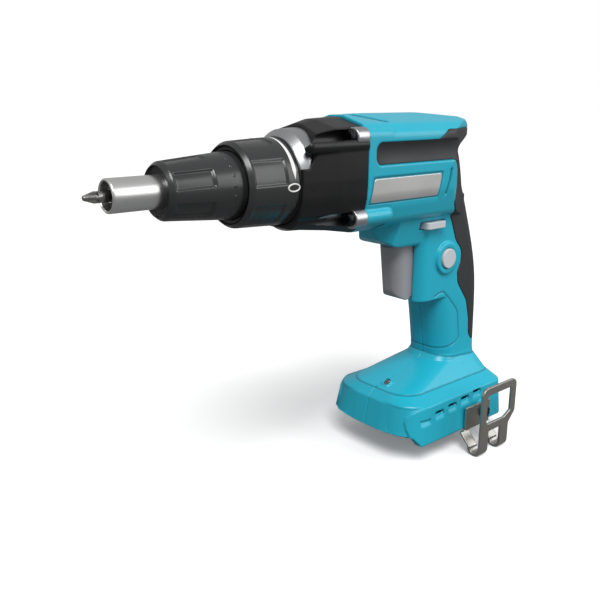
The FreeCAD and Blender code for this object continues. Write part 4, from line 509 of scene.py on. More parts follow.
@dataclass(frozen=True)
class Moulding:
    """Turns a sharp solid into a moulded one: rounded edges, pressed lines, even facets."""

    voxel: float
    passes: int
    cap: int
    pressings: tuple[Pressing, ...] = ()
    fairings: tuple[Fairing, ...] = ()

    def mould(self, node: str, side: int) -> bpy.types.Mesh:
        """Makes the moulded mesh.

        Args:
            node: The frame's node that it is made from.
            side: The side that its fairings are on, 1 for the left.

        Returns:
            A closed mesh with about as many triangles as the cap at most.
        """
        mesh = applied(merged(node, self.fairings, side), [
            ("REMESH", {"mode": "VOXEL", "voxel_size": mm(self.voxel)}),
            ("SMOOTH", {"factor": SMOOTHING, "iterations": self.passes}),
        ])
        if self.pressings:
            points, normals = coordinates(mesh)
            # Painted shade: the pressings' darkening is kept as a point attribute that the material mixes
            # into the colour.
            dark = np.zeros(len(points))
            for pressing in self.pressings:
                depth, shade = pressing.press(points, normals)
                points -= normals * depth[:, None]
                dark = np.maximum(dark, shade)
            mesh.vertices.foreach_set("co", (points / PER_METRE).ravel())
            mesh.attributes.new(PAINTED_SHADE, "FLOAT", "POINT").data.foreach_set("value", dark)
        triangles = sum(len(p.vertices) - 2 for p in mesh.polygons)
        if triangles > self.cap:
            mesh = applied(mesh, [("DECIMATE", {"ratio": self.cap / triangles})])
        return mesh

    def dress(self, node: str, name: str, body: str, finish: Finish, slot: str, side: int = 1) -> None:
        """Makes the moulded mesh a piece that stands for its solid.

        Args:
            node: The frame's node that it is made from.
            name: The piece's name.
            body: The body it rides on.
            finish: Its surface.
            slot: The name of a material slot; not used.
            side: The side that its fairings are on, 1 for the left.
        """
        finished(self.mould(node, side), name, body, finish, [node])


@dataclass(frozen=True)
class Panels:
    """Finger panels: shallow recesses spread evenly round a turned piece."""

    count: int
    width: float
    depth: float
    rear: float
    front: float
    phase: float
    edge: float = 0.7

    def drop(self, along: np.ndarray, angle: np.ndarray, radius: np.ndarray) -> np.ndarray:
        """Works out how far the surface drops.

        Args:
            along: Places along the axis.
            angle: Angles from the top towards the left, in radians.
            radius: The plain radius there.

        Returns:
            The depth of the recess at each point.
        """
        pitch = math.tau / self.count
        offset = (angle - math.radians(self.phase) + pitch / 2) % pitch - pitch / 2
        across = eased((self.width / 2 - np.abs(offset) * radius) / self.edge + 0.5)
        ends = eased((along - self.rear) / self.edge + 0.5) * eased((self.front - along) / self.edge + 0.5)
        return self.depth * across * ends


def rounded(corners: Sequence[Spot], step: float) -> list[tuple[float, float]]:
    """Rounds the corners of a closed outline and divides its long runs.

    Args:
        corners: Place, radius from the axis and rounding of each corner.
        step: Longest run between two points.

    Returns:
        The outline's points.
    """
    points: list[np.ndarray] = []
    count = len(corners)
    for index, (x, r, rounding) in enumerate(corners):
        here = np.array((x, r))
        before = np.array(corners[index - 1][:2]) - here
        after = np.array(corners[(index + 1) % count][:2]) - here
        shorter = min(np.linalg.norm(before), np.linalg.norm(after))
        reach = min(rounding, shorter * CORNER_SHARE)
        if reach <= 0:
            points.append(here)
            continue
        first = here + before / np.linalg.norm(before) * reach
        last = here + after / np.linalg.norm(after) * reach
        for share in np.linspace(0, 1, CORNER_POINTS):
            points.append((1 - share) ** 2 * first + 2 * share * (1 - share) * here + share ** 2 * last)
    outline: list[tuple[float, float]] = []
    for index, start in enumerate(points):
        end = points[(index + 1) % len(points)]
        pieces = max(1, math.ceil(np.linalg.norm(end - start) / step))
        outline += [tuple(start + (end - start) * k / pieces) for k in range(pieces)]
    return outline


def turned(
    corners: Sequence[Spot], segments: int, step: float, panels: Panels | None = None, outer: float = 0.0,
    mouth: tuple[float, float] | None = None,
) -> bpy.types.Mesh:
    """Turns a closed outline about the spindle's axis.

    Args:
        corners: The outline's corners, as for rounded().
        segments: Facets round the axis.
        step: Longest run along the outline.
        panels: Recesses in the outer face.
        outer: Radius above which the outer face lies.
        mouth: Place and radius of a front face that lies in shade, in front of and inside them.

    Returns:
        A closed mesh with smooth faces.
    """
    outline = np.array(rounded(corners, step))
    angles = np.arange(segments) * math.tau / segments
    along = np.repeat(outline[:, 0], segments)
    radius = np.repeat(outline[:, 1], segments)
    angle = np.tile(angles, len(outline))
    if panels:
        radius = radius - panels.drop(along, angle, radius) * (radius > outer)
    points = np.column_stack([along, radius * np.sin(angle), AXIS_Z + radius * np.cos(angle)])
    faces = []
    rows = len(outline)
    for row in range(rows):
        here, there = row * segments, (row + 1) % rows * segments
        for k in range(segments):
            j = (k + 1) % segments
            faces.append((here + k, here + j, there + j, there + k))
    mesh = bpy.data.meshes.new("turned")
    mesh.from_pydata((points / PER_METRE).tolist(), [], faces)
    work = bmesh.new()
    work.from_mesh(mesh)
    bmesh.ops.recalc_face_normals(work, faces=work.faces)
    work.to_mesh(mesh)
    work.free()
    if mouth:
        # Painted shade on the front face, in front of the place and inside the radius.
        shade = eased((along - mouth[0]) / SHADE_EDGE) * eased((mouth[1] - radius) / SHADE_EDGE)
        mesh.attributes.new(PAINTED_SHADE, "FLOAT", "POINT").data.foreach_set("value", shade)
    return mesh


def finished(
    mesh: bpy.types.Mesh, name: str, body: str, finish: Finish, nodes: Sequence[str] = (),
    smooth: bool = True,
) -> bpy.types.Object:
    """Makes a mesh a piece of the tool.

    Args:
        mesh: The piece's mesh, in place.
        name: The piece's name.
        body: The body it rides on.
        finish: Its surface.
        nodes: The frame's nodes that it stands for.
        smooth: Whether its faces are shaded smooth.

    Returns:
        The piece.
    """
    mesh.materials.clear()
    mesh.materials.append(finish.material())
    mesh.polygons.foreach_set("use_smooth", [smooth] * len(mesh.polygons))
    mesh.polygons.foreach_set("material_index", [0] * len(mesh.polygons))
    mesh.update()
    piece = bpy.data.objects.new(name, mesh)
    bpy.context.scene.collection.objects.link(piece)
    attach(piece, body)
    if nodes:
        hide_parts(*nodes)
    LOG.info("%s on %s: %d faces", name, body, len(mesh.polygons))
    return piece


class Recipe:
    """A Geometry Nodes tree with named inputs for its sizes."""

    def __init__(self, name: str, sizes: Mapping[str, float]) -> None:
        """Starts the tree.

        Args:
            name: The tree's name.
            sizes: Its named inputs and their values, in metres, radians or counts.
        """
        self.tree = bpy.data.node_groups.new(name, "GeometryNodeTree")
        self.sizes = dict(sizes)
        self.tree.interface.new_socket("Geometry", in_out="INPUT", socket_type="NodeSocketGeometry")
        for size in sizes:
            self.tree.interface.new_socket(size, in_out="INPUT", socket_type="NodeSocketFloat")
        self.tree.interface.new_socket("Geometry", in_out="OUTPUT", socket_type="NodeSocketGeometry")
        self.given = self.tree.nodes.new("NodeGroupInput").outputs

    def sum(self, operation: str, first: object, second: object) -> bpy.types.NodeSocket:
        """Returns the result of one piece of arithmetic on two sockets or numbers."""
        return add(self.tree, "ShaderNodeMath", {"operation": operation}, {0: first, 1: second}).outputs[0]

    def vector(self, x: object = 0.0, y: object = 0.0, z: object = 0.0) -> bpy.types.NodeSocket:
        """Returns three sockets or numbers as one vector."""
        return add(self.tree, "ShaderNodeCombineXYZ", inputs={0: x, 1: y, 2: z}).outputs[0]

    def close(self, result: bpy.types.NodeSocket, finish: Finish) -> None:
        """Ends the tree: instances made real, material set.

        Args:
            result: The geometry to hand out.
            finish: Its surface.
        """
        real = add(self.tree, "GeometryNodeRealizeInstances", inputs={"Geometry": result})
        dressed = add(self.tree, "GeometryNodeSetMaterial", inputs={
            "Geometry": real.outputs[0], "Material": finish.material(),
        })
        add(self.tree, "NodeGroupOutput", inputs={"Geometry": dressed.outputs[0]})

    def spread(self, shape: bpy.types.NodeSocket) -> bpy.types.NodeSocket:
        """Puts a shape on each of the given points.

        Args:
            shape: The shape's geometry, with Z as the way it faces.

        Returns:
            The instances.
        """
        facing = add(self.tree, "GeometryNodeInputNamedAttribute", {"data_type": "FLOAT_VECTOR"}, {
            "Name": "facing",
        })
        turn = add(self.tree, "FunctionNodeAlignRotationToVector", {"axis": "Z"}, {
            "Vector": facing.outputs[0],
        })
        spots = add(self.tree, "GeometryNodeMeshToPoints", inputs={"Mesh": self.given["Geometry"]})
        return add(self.tree, "GeometryNodeInstanceOnPoints", inputs={
            "Points": spots.outputs[0], "Instance": shape, "Rotation": turn.outputs[0],
        }).outputs[0]

    def run(self, points: Sequence[Spot], facing: Sequence[Spot]) -> bpy.types.Mesh:
        """Runs the tree on a set of points.

        Args:
            points: Places in millimetres.
            facing: The way each place faces.

        Returns:
            The result as a plain mesh.
        """
        mesh = bpy.data.meshes.new(self.tree.name)
        mesh.from_pydata([[mm(v) for v in point] for point in points], [], [])
        mesh.attributes.new("facing", "FLOAT_VECTOR", "POINT").data.foreach_set("vector", np.ravel(facing))
        holder = bpy.data.objects.new(self.tree.name, mesh)
        bpy.context.scene.collection.objects.link(holder)
        modifier = holder.modifiers.new(self.tree.name, "NODES")
        modifier.node_group = self.tree
        for item in self.tree.interface.items_tree:
            if item.name in self.sizes:
                modifier[item.identifier] = self.sizes[item.name]
        graph = bpy.context.evaluated_depsgraph_get()
        result = bpy.data.meshes.new_from_object(holder.evaluated_get(graph))
        bpy.data.objects.remove(holder)
        bpy.data.meshes.remove(mesh)
        return result


@dataclass(frozen=True)
class ScrewSet:
    """Pan head screws with a cross recess, or a slot, all of one size."""

    head_radius: float
    head_height: float
    shank_radius: float
    shank_length: float
    recess_width: float
    recess_length: float
    recess_depth: float
    cross: bool = True
    head_facets: int = 40
    shank_facets: int = 24
    wall_share: float = 0.6
    dome: Path = ((0.22, 0.96), (0.12, 0.9), (0.06, 0.84))

    def recipe(self, name: str) -> Recipe:
        """Builds the screw's tree.

        Args:
            name: The tree's name.

        Returns:
            A recipe that puts a screw on each point, with its head's seat there.
        """
        made = Recipe(name, {
            "Head Radius": mm(self.head_radius), "Head Height": mm(self.head_height),
            "Shank Radius": mm(self.shank_radius), "Shank Length": mm(self.shank_length),
            "Recess Width": mm(self.recess_width), "Recess Length": mm(self.recess_length),
            "Recess Depth": mm(self.recess_depth),
        })
        tree, given = made.tree, made.given
        wall = made.sum("MULTIPLY", given["Head Height"], self.wall_share)
        drum = add(tree, "GeometryNodeMeshCylinder", inputs={
            "Vertices": self.head_facets, "Radius": given["Head Radius"], "Depth": wall,
        })
        solid, top = drum.outputs["Mesh"], drum.outputs["Top"]
        for rise, shrink in self.dome:
            lift = made.sum("MULTIPLY", given["Head Height"], rise)
            lifted = add(tree, "GeometryNodeExtrudeMesh", inputs={
                "Mesh": solid, "Selection": top, "Offset": made.vector(z=lift), "Offset Scale": 1.0,
                "Individual": False,
            })
            narrowed = add(tree, "GeometryNodeScaleElements", inputs={
                "Geometry": lifted.outputs["Mesh"], "Selection": lifted.outputs["Top"], "Scale": shrink,
            })
            solid, top = narrowed.outputs[0], lifted.outputs["Top"]
        head = add(tree, "GeometryNodeTransform", inputs={
            "Geometry": solid, "Translation": made.vector(z=made.sum("MULTIPLY", wall, 0.5)),
        })
        depth = made.sum("MULTIPLY", given["Recess Depth"], 2.0)
        arms = [made.vector(given["Recess Length"], given["Recess Width"], depth)]
        if self.cross:
            arms.append(made.vector(given["Recess Width"], given["Recess Length"], depth))
        cut = head.outputs[0]
        for arm in arms:
            bar = add(tree, "GeometryNodeMeshCube", inputs={"Size": arm})
            placed = add(tree, "GeometryNodeTransform", inputs={
                "Geometry": bar.outputs["Mesh"], "Translation": made.vector(z=given["Head Height"]),
            })
            cut = add(tree, "GeometryNodeMeshBoolean", {"operation": "DIFFERENCE"}, {
                0: cut, 1: placed.outputs[0],
            }).outputs[0]
        shank = add(tree, "GeometryNodeMeshCylinder", inputs={
            "Vertices": self.shank_facets, "Radius": given["Shank Radius"], "Depth": given["Shank Length"],
        })
        lowered = add(tree, "GeometryNodeTransform", inputs={
            "Geometry": shank.outputs["Mesh"],
            "Translation": made.vector(z=made.sum("MULTIPLY", given["Shank Length"], -0.5)),
        })
        screw = tree.nodes.new("GeometryNodeJoinGeometry")
        tree.links.new(cut, screw.inputs[0])
        tree.links.new(lowered.outputs[0], screw.inputs[0])
        made.close(made.spread(screw.outputs[0]), BLACK_OXIDE)
        return made


@dataclass(frozen=True)
class Housing:
    """The two clamshell halves of glass-filled nylon."""

    voxel: float = 0.55
    passes: int = 3
    cap: int = 185000
    vent_first: float = 22.4
    vent_pitch: float = 12.9
    vent_climb: float = 1.35
    vent_low: float = 17.6
    vent_count: int = 4
    scoop_length: float = 9.6
    scoop_drop: float = 4.2
    scoop_lip: float = 0.2
    scoop_depth: float = 1.3
    handle: Spot = (-20.0, 0.0, 70.0)
    barrel: Spot = (30.0, 0.0, AXIS_Z)
    base: Spot = (0.0, 0.0, 12.0)
    barrel_side: tuple[float, float] = (20.0, 40.0)
    panel_line: Path = (
        (8.0, 88.6), (2.4, 90.3), (-1.3, 90.4), (-6.5, 85.4), (-14.8, 76.7), (-16.7, 73.5), (-19.6, 55.4),
        (-17.0, 53.0), (-7.4, 50.1), (2.0, 48.6), (8.0, 48.2))
    foot_line: Path = ((8.0, 46.4), (-15.0, 42.4), (-45.0, 40.0))
    roof_line: Path = ((60.0, 30.0), (-60.0, 30.0))
    slot_line: Path = ((10.7, 171.4), (11.4, 165.0), (13.6, 156.9))
    plate_line: Path = ((18.9, 170.4), (77.3, 170.4), (79.6, 155.9), (21.2, 155.9), (18.9, 170.4))
    top_line: Path = ((76.0, 4.0), (61.0, 18.0))
    neck_line: Path = ((-24.0, 152.2), (-17.0, 152.2))
    corner_edge: Path = (
        (44.5, 0.0), (46.4, 8.0), (47.3, 12.0), (47.3, 16.0), (46.3, 19.0), (44.0, 21.5), (40.5, 23.3),
        (30.0, 25.0))

    def pressings(self) -> tuple[Pressing, ...]:
        """Returns the lines and scoops that the mould presses into both halves."""
        # The lines are pressed in and also darkened with painted shade; the step and the scoops only move the
        # surface.
        lines: list[Pressing] = [
            Groove(self.panel_line, half_width=0.9, depth=0.45, centre=self.handle, dark=0.55),
            Groove(self.foot_line, half_width=0.9, depth=0.4, centre=self.handle, dark=0.5),
            Groove(self.roof_line, half_width=0.45, depth=0.5, centre=self.base, dark=0.6),
            Groove(self.slot_line, half_width=1.5, depth=1.3, centre=self.barrel, dark=0.75,
                   reach=self.barrel_side),
            Groove(self.plate_line, half_width=0.8, depth=0.5, centre=self.barrel, dark=0.7,
                   reach=self.barrel_side),
            Step(self.corner_edge, depth=1.3, blend=1.2, top=26.0, rear=33.0, run=9.0),
            Groove(self.top_line, half_width=2.2, depth=0.9, centre=self.barrel, from_above=True, dark=1.0,
                   reach=(1.0, 20.0), wall=0.5),
            Groove(self.neck_line, half_width=3.2, depth=1.2, centre=self.barrel, reach=(0.0, 16.0)),
        ]
        for index in range(-1, self.vent_count):
            low = self.vent_low + index * self.vent_climb
            middle = self.vent_first - index * self.vent_pitch
            lines.append(Hollow(middle, self.scoop_length, low - self.scoop_drop, low + self.scoop_lip,
                                self.scoop_depth))
        return tuple(lines)

    def build(self) -> None:
        """Moulds and dresses both halves."""
        moulding = Moulding(self.voxel, self.passes, self.cap, self.pressings())
        for side in ("left", "right"):
            moulding.dress("housing_" + side, "housing_shell_" + side, "tool_body", TEAL_NYLON,
                           "teal_housing")


@dataclass(frozen=True)
class SoftGrip:
    """The over-moulded grip on the tail and handle, and the bare plates beside it."""

    voxel: float = 0.5
    passes: int = 4
    cap: int = 90000
    neck: Fairing = Fairing(
        ((0.0, -24.0, -22.0), (4.0, -24.0, -22.0), (6.3, -23.9, -21.8), (8.7, -23.4, -21.4),
         (11.0, -22.4, -20.4), (13.0, -20.9, -18.9), (14.8, -19.1, -17.0), (15.6, -17.6, -15.6)),
        low=149.5, high=154.5, back=2.6)
    web: Fairing = Fairing(
        ((0.0, -18.5, -10.5), (4.0, -18.5, -10.3), (6.5, -18.4, -9.9), (8.9, -17.9, -9.2),
         (11.2, -16.8, -8.4), (13.2, -15.3, -7.6), (14.8, -13.4, -6.8), (16.0, -11.3, -6.1)),
        low=163.5, high=178.0, back=3.6)
    rest: Dish = Dish(rear=-4.0, front=76.0, low=176.8, high=189.5, depth=1.0, inner=23.6)
    plate: Moulding = Moulding(voxel=0.22, passes=3, cap=60000)

    def build(self) -> None:
        """Moulds and dresses both grips and both plates."""
        moulding = Moulding(self.voxel, self.passes, self.cap, (self.rest,), (self.neck, self.web))
        for side, way in (("left", 1), ("right", -1)):
            moulding.dress("grip_" + side, "soft_grip_" + side, "tool_body", ELASTOMER, "soft_grip", way)
            self.plate.dress("name_plate_" + side, "bare_plate_" + side, "tool_body", BRUSHED_PLATE,
                             "plate_metal")


@dataclass(frozen=True)
class GearCase:
    """The cast gear case, its black cover and the four screws that hold both."""

    ear_half_span: float = 22.6
    ear_rise: float = 22.6
    ear_drop: float = 21.4
    screw_seat: float = 91.0
    screw: ScrewSet = ScrewSet(
        head_radius=3.8, head_height=3.0, shank_radius=2.1, shank_length=24.0, recess_width=1.1,
        recess_length=4.2, recess_depth=1.6)
    # Painted shade on the casting's front collar beside the ring; the band has no relief.
    collar_shade: Band = Band(rear=125.4, front=140.0, dark=0.9)
    cover: Moulding = Moulding(voxel=0.34, passes=9, cap=150000)

    def build(self) -> None:
        """Moulds and dresses the case, the cover and its screws."""
        case = Moulding(voxel=0.4, passes=6, cap=120000, pressings=(self.collar_shade,))
        case.dress("gear_housing", "gear_case_casting", "tool_body", CAST_ALUMINIUM, "cast_alloy")
        self.cover.dress("gear_housing_cover", "gear_case_cover", "tool_body", COVER_NYLON, "black_plastic")
        spots = [(self.screw_seat, side * self.ear_half_span, AXIS_Z + rise)
                 for side in (-1, 1) for rise in (self.ear_rise, -self.ear_drop)]
        mesh = self.screw.recipe("cover_screw_set").run(spots, [(1, 0, 0)] * len(spots))
        finished(mesh, "cover_screw_heads", "tool_body", BLACK_OXIDE, ["cover_screws"],
                 smooth=False)


@dataclass(frozen=True)
class IndexArc:
    """The white arc on the depth ring's rear band, thin at its start and pointed at its end."""

    place: float = 130.2
    radius: float = 23.22
    start: float = 2.0
    sweep: float = 80.0
    width: float = 2.4
    thickness: float = 0.16
    point_share: float = 0.86
    start_share: float = 0.3
    tip_share: float = 0.05
    facets: int = 90

    def build(self) -> None:
        """Draws the arc with Geometry Nodes."""
        made = Recipe("index_arc", {
            "Radius": mm(self.radius), "Start": math.radians(self.start), "Sweep": math.radians(self.sweep),
            "Width": mm(self.width), "Thickness": mm(self.thickness), "Point Share": self.point_share,
        })
        tree, given = made.tree, made.given
        arc = add(tree, "GeometryNodeCurveArc", inputs={
            "Resolution": self.facets, "Radius": given["Radius"], "Start Angle": given["Start"],
            "Sweep Angle": given["Sweep"],
        })
        along = add(tree, "GeometryNodeSplineParameter").outputs["Factor"]
        swell = add(tree, "ShaderNodeMapRange", inputs={
            "Value": along, "From Min": 0.0, "From Max": given["Point Share"], "To Min": self.start_share,
            "To Max": 1.0,
        })
        taper = add(tree, "ShaderNodeMapRange", inputs={
            "Value": along, "From Min": given["Point Share"], "From Max": 1.0, "To Min": 1.0,
            "To Max": self.tip_share,
        })
        width = made.sum("MINIMUM", swell.outputs[0], taper.outputs[0])
        band = add(tree, "GeometryNodeCurvePrimitiveQuadrilateral", inputs={
            "Width": given["Thickness"], "Height": given["Width"],
        })
        strip = add(tree, "GeometryNodeCurveToMesh", inputs={
            "Curve": arc.outputs["Curve"], "Profile Curve": band.outputs[0], "Scale": width,
            "Fill Caps": True,
        })
        stood = add(tree, "GeometryNodeTransform", inputs={
            "Geometry": strip.outputs[0], "Rotation": (0.0, -math.pi / 2, 0.0),
            "Translation": (mm(self.place), 0.0, mm(AXIS_Z)),
        })
        made.close(stood.outputs[0], WHITE_INK)
        mesh = made.run([(0.0, 0.0, 0.0)], [(1.0, 0.0, 0.0)])
        finished(mesh, "depth_index_arc", "depth_ring", WHITE_INK, smooth=False)


@dataclass(frozen=True)
class IndexMark:
    """The plain white oval below the arc, against which the ring is read."""

    place: float = 131.2
    radius: float = 23.14
    angle: float = 92.5
    long: float = 3.6
    tall: float = 1.9
    line: float = 0.42
    oval_facets: int = 64
    line_facets: int = 12

    def build(self) -> None:
        """Draws the oval with Geometry Nodes."""
        made = Recipe("index_mark", {"Long": mm(self.long), "Tall": mm(self.tall), "Line": mm(self.line)})
        tree, given = made.tree, made.given
        loop = add(tree, "GeometryNodeCurvePrimitiveCircle", inputs={
            "Resolution": self.oval_facets, "Radius": 1.0,
        })
        oval = add(tree, "GeometryNodeTransform", inputs={
            "Geometry": loop.outputs[0], "Scale": made.vector(given["Long"], given["Tall"], 1.0),
        })
        wire = add(tree, "GeometryNodeCurvePrimitiveCircle", inputs={
            "Resolution": self.line_facets, "Radius": given["Line"],
        })
        ring = add(tree, "GeometryNodeCurveToMesh", inputs={
            "Curve": oval.outputs[0], "Profile Curve": wire.outputs[0],
        })
        made.close(made.spread(ring.outputs[0]), WHITE_INK)
        way = (0.0, math.sin(math.radians(self.angle)), math.cos(math.radians(self.angle)))
        spot = (self.place, self.radius * way[1], AXIS_Z + self.radius * way[2])
        finished(made.run([spot], [way]), "depth_index_mark", "depth_ring", WHITE_INK)


@dataclass(frozen=True)
class DetentRow:
    """Small round teeth behind the locator, which click as it moves."""

    count: int = 20
    place: float = 162.4
    radius: float = 16.35
    long: float = 1.3
    wide: float = 1.3
    rise: float = 0.75
    phase: float = 0.7
    segments: int = 20
    rings: int = 12

    def build(self) -> None:
        """Sets the teeth out with Geometry Nodes."""
        made = Recipe("detent_row", {"Long": mm(self.long), "Wide": mm(self.wide), "Rise": mm(self.rise)})
        tree, given = made.tree, made.given
        ball = add(tree, "GeometryNodeMeshUVSphere", inputs={
            "Segments": self.segments, "Rings": self.rings, "Radius": 1.0,
        })
        tooth = add(tree, "GeometryNodeTransform", inputs={
            "Geometry": ball.outputs["Mesh"],
            "Scale": made.vector(given["Wide"], given["Long"], given["Rise"]),
        })
        made.close(made.spread(tooth.outputs[0]), NOSE_PLASTIC)
        angles = [math.tau * (k + self.phase) / self.count for k in range(self.count)]
        ways = [(0.0, math.sin(a), math.cos(a)) for a in angles]
        points = [(self.place, self.radius * y, AXIS_Z + self.radius * z) for _, y, z in ways]
        finished(made.run(points, ways), "locator_detents", "depth_stop", NOSE_PLASTIC)


@dataclass(frozen=True)
class DepthNose:
    """The depth ring, the locator that it moves and the locator's steel sleeve.

    In an outline each corner has its place, its radius from the axis and its rounding.
    """

    ring_rear: float = 127.2
    ring_front: float = 157.3
    ring_bore: float = 15.65
    ring_rear_radius: float = 23.3
    ring_front_radius: float = 22.1
    ring_slope: float = 2.6
    ring_lip_radius: float = 20.2
    ring_dish: float = 1.4
    ring_dish_radius: float = 19.2
    ring_seat: float = 139.35
    ring_seat_radius: float = 17.55
    # Depth and radius of the painted shade on the ring's front face.
    ring_shade: tuple[float, float] = (1.9, 20.5)
    ring_segments: int = 288
    locator_tail: float = 143.5
    locator_rear: float = 158.0
    locator_front: float = 197.0
    locator_bore: float = 13.95
    locator_rear_radius: float = 17.2
    locator_front_radius: float = 14.3
    locator_slope: float = 2.4
    locator_lip_radius: float = 12.4
    locator_dish: float = 1.6
    locator_dish_radius: float = 11.6
    locator_seat_depth: float = 24.0
    locator_seat_run: float = 6.0
    locator_mouth_radius: float = 8.12
    # Depth and radius of the painted shade on the locator's front face.
    locator_shade: tuple[float, float] = (2.0, 12.7)
    locator_segments: int = 240
    sleeve_front: float = 222.4
    sleeve_radius: float = 8.1
    sleeve_wall: float = 1.3
    sleeve_chamfer: float = 0.6
    sleeve_mouth: tuple[float, float] = (0.5, 0.3)
    sleeve_segments: int = 160
    outline_step: float = 0.6
    sleeve_step: float = 2.0

    def ring(self) -> bpy.types.Mesh:
        """Returns the ring, with six finger panels and a shaded front dish."""
        front, dish = self.ring_front, self.ring_front - self.ring_dish
        panels = Panels(count=6, width=13.0, depth=0.8, rear=self.ring_rear + 7.6, front=front - 3.4,
                        phase=11.0)
        outline = [
            (self.ring_rear, self.ring_bore, 0.3), (self.ring_rear, self.ring_rear_radius, 0.9),
            (front - self.ring_slope, self.ring_front_radius, 0.8), (front, self.ring_lip_radius, 0.5),
            (dish, self.ring_dish_radius, 0.3), (dish, self.ring_seat_radius, 0.2),
            (self.ring_seat, self.ring_seat_radius, 0), (self.ring_seat, self.ring_bore, 0),
        ]
        depth, radius = self.ring_shade
        return turned(outline, self.ring_segments, self.outline_step, panels, outer=20.6,
                      mouth=(front - depth, radius))

    def locator(self, seat: float) -> bpy.types.Mesh:
        """Returns the locator, with six finger panels and a shaded front dish.

        Args:
            seat: Where the sleeve's rear end sits.
        """
        front, dish = self.locator_front, self.locator_front - self.locator_dish
        panels = Panels(count=6, width=8.5, depth=1.0, rear=self.locator_rear + 15.0, front=front - 3.6,
                        phase=6.5)
        outline = [
            (self.locator_tail, self.locator_bore, 0.3), (self.locator_tail, self.locator_rear_radius, 0.4),
            (self.locator_rear, self.locator_rear_radius, 0.3),
            (front - self.locator_slope, self.locator_front_radius, 0.8),
            (front, self.locator_lip_radius, 0.4),
            (dish, self.locator_dish_radius, 0.3), (dish, self.locator_mouth_radius, 0.2),
            (seat, self.locator_mouth_radius, 0), (seat - self.locator_seat_run, self.locator_bore, 0),
        ]
        depth, radius = self.locator_shade
        return turned(outline, self.locator_segments, self.outline_step, panels, outer=12.7,
                      mouth=(front - depth, radius))

    def sleeve(self, seat: float) -> bpy.types.Mesh:
        """Returns the steel sleeve, chamfered at its front.

        Args:
            seat: Where its rear end sits.
        """
        front, radius, bore = self.sleeve_front, self.sleeve_radius, self.sleeve_radius - self.sleeve_wall
        depth, flare = self.sleeve_mouth
        outline = [
            (seat, bore, 0.2), (seat, radius, 0.3), (front - self.sleeve_chamfer, radius, 0.4),
            (front, radius - self.sleeve_chamfer, 0.25), (front, bore + flare, 0.2),
            (front - depth, bore, 0.2),
        ]
        return turned(outline, self.sleeve_segments, self.sleeve_step)

    def build(self) -> None:
        """Turns and dresses the three pieces and their marks."""
        seat = self.locator_front - self.locator_seat_depth
        finished(self.ring(), "depth_ring_grip", "depth_ring", NOSE_PLASTIC, ["adjust_ring"])
        finished(self.locator(seat), "locator_cone", "depth_stop", NOSE_PLASTIC, ["locator"])
        finished(self.sleeve(seat), "nose_sleeve_tube", "depth_stop", SATIN_STEEL,
                 ["nose_sleeve"])
        IndexArc().build()
        IndexMark().build()
        DetentRow().build()


@dataclass(frozen=True)
class Bit:
    """The cross point driver bit."""

    moulding: Moulding = Moulding(voxel=0.12, passes=2, cap=60000)

    def build(self) -> None:
        """Softens the bit's ground edges and dresses it."""
        self.moulding.dress("driver_bit", "cross_point_bit", "spindle_unit", BIT_STEEL, "bit_steel")


@dataclass(frozen=True)
class Controls:
    """Trigger, lock button, reversing lever and lamp."""

    button: Moulding = Moulding(voxel=0.28, passes=5, cap=60000)
    shoe: Moulding = Moulding(voxel=0.42, passes=16, cap=60000)
    lens: Moulding = Moulding(voxel=0.18, passes=6, cap=30000)

    def build(self) -> None:
        """Moulds and dresses the controls."""
        self.shoe.dress("trigger", "trigger_shoe", "trigger_unit", GREY_ABS, "grey_plastic")
        self.button.dress("lock_button", "lock_button_cap", "lock_unit", PALE_ABS, "light_plastic")
        self.button.dress("reversing_lever", "reversing_lever_bar", "lever_unit", PALE_ABS, "light_plastic")
        self.lens.dress("lamp_lens", "lamp_window", "tool_body", CLEAR_LENS, "lens")


@dataclass(frozen=True)
class Hook:
    """The steel belt hook and its slotted screw, and the screws that clamp the halves."""

    strip: Moulding = Moulding(voxel=0.3, passes=2, cap=60000)
    hook_screw: ScrewSet = ScrewSet(
        head_radius=3.8, head_height=3.0, shank_radius=2.0, shank_length=7.4, recess_width=1.1,
        recess_length=8.4, recess_depth=1.6, cross=False)
    hook_spot: Spot = (-20.0, 41.2, 8.6)
    clamp_screw: ScrewSet = ScrewSet(
        head_radius=3.8, head_height=3.0, shank_radius=2.1, shank_length=20.0, recess_width=1.1,
        recess_length=4.2, recess_depth=1.4)
    clamp_spots: tuple[Spot, ...] = (
        (45.0, -11.0, 134.5), (-10.0, -12.0, 194.2), (-19.5, -12.0, 142.0), (-24.0, -12.0, 66.0),
        (38.5, -27.0, 20.0), (-38.5, -27.0, 23.0))

    def build(self) -> None:
        """Softens the strip's edges and sets the screws."""
        self.strip.dress("belt_hook", "belt_hook_strip", "tool_body", STRIP_STEEL, "hook_steel")
        mesh = self.hook_screw.recipe("hook_screw_head").run([self.hook_spot], [(0, 1, 0)])
        finished(mesh, "hook_screw_slotted", "tool_body", BLACK_OXIDE, ["hook_screw"],
                 smooth=False)
        ways = [(0, -1, 0)] * len(self.clamp_spots)
        mesh = self.clamp_screw.recipe("clamp_screw_set").run(self.clamp_spots, ways)
        finished(mesh, "clamp_screw_heads", "tool_body", BLACK_OXIDE, ["housing_screws"],
                 smooth=False)


@dataclass(frozen=True)
class InnerWorks:
    """Every solid that keeps its own shape and only gets its surface."""

    def build(self) -> None:
        """Dresses the inner solids."""
        for node, finish in INNER_FINISHES.items():
            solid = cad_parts[node]
            solid.data.materials.clear()
            solid.data.materials.append(finish.material())
            LOG.info("%s keeps its solid", node)


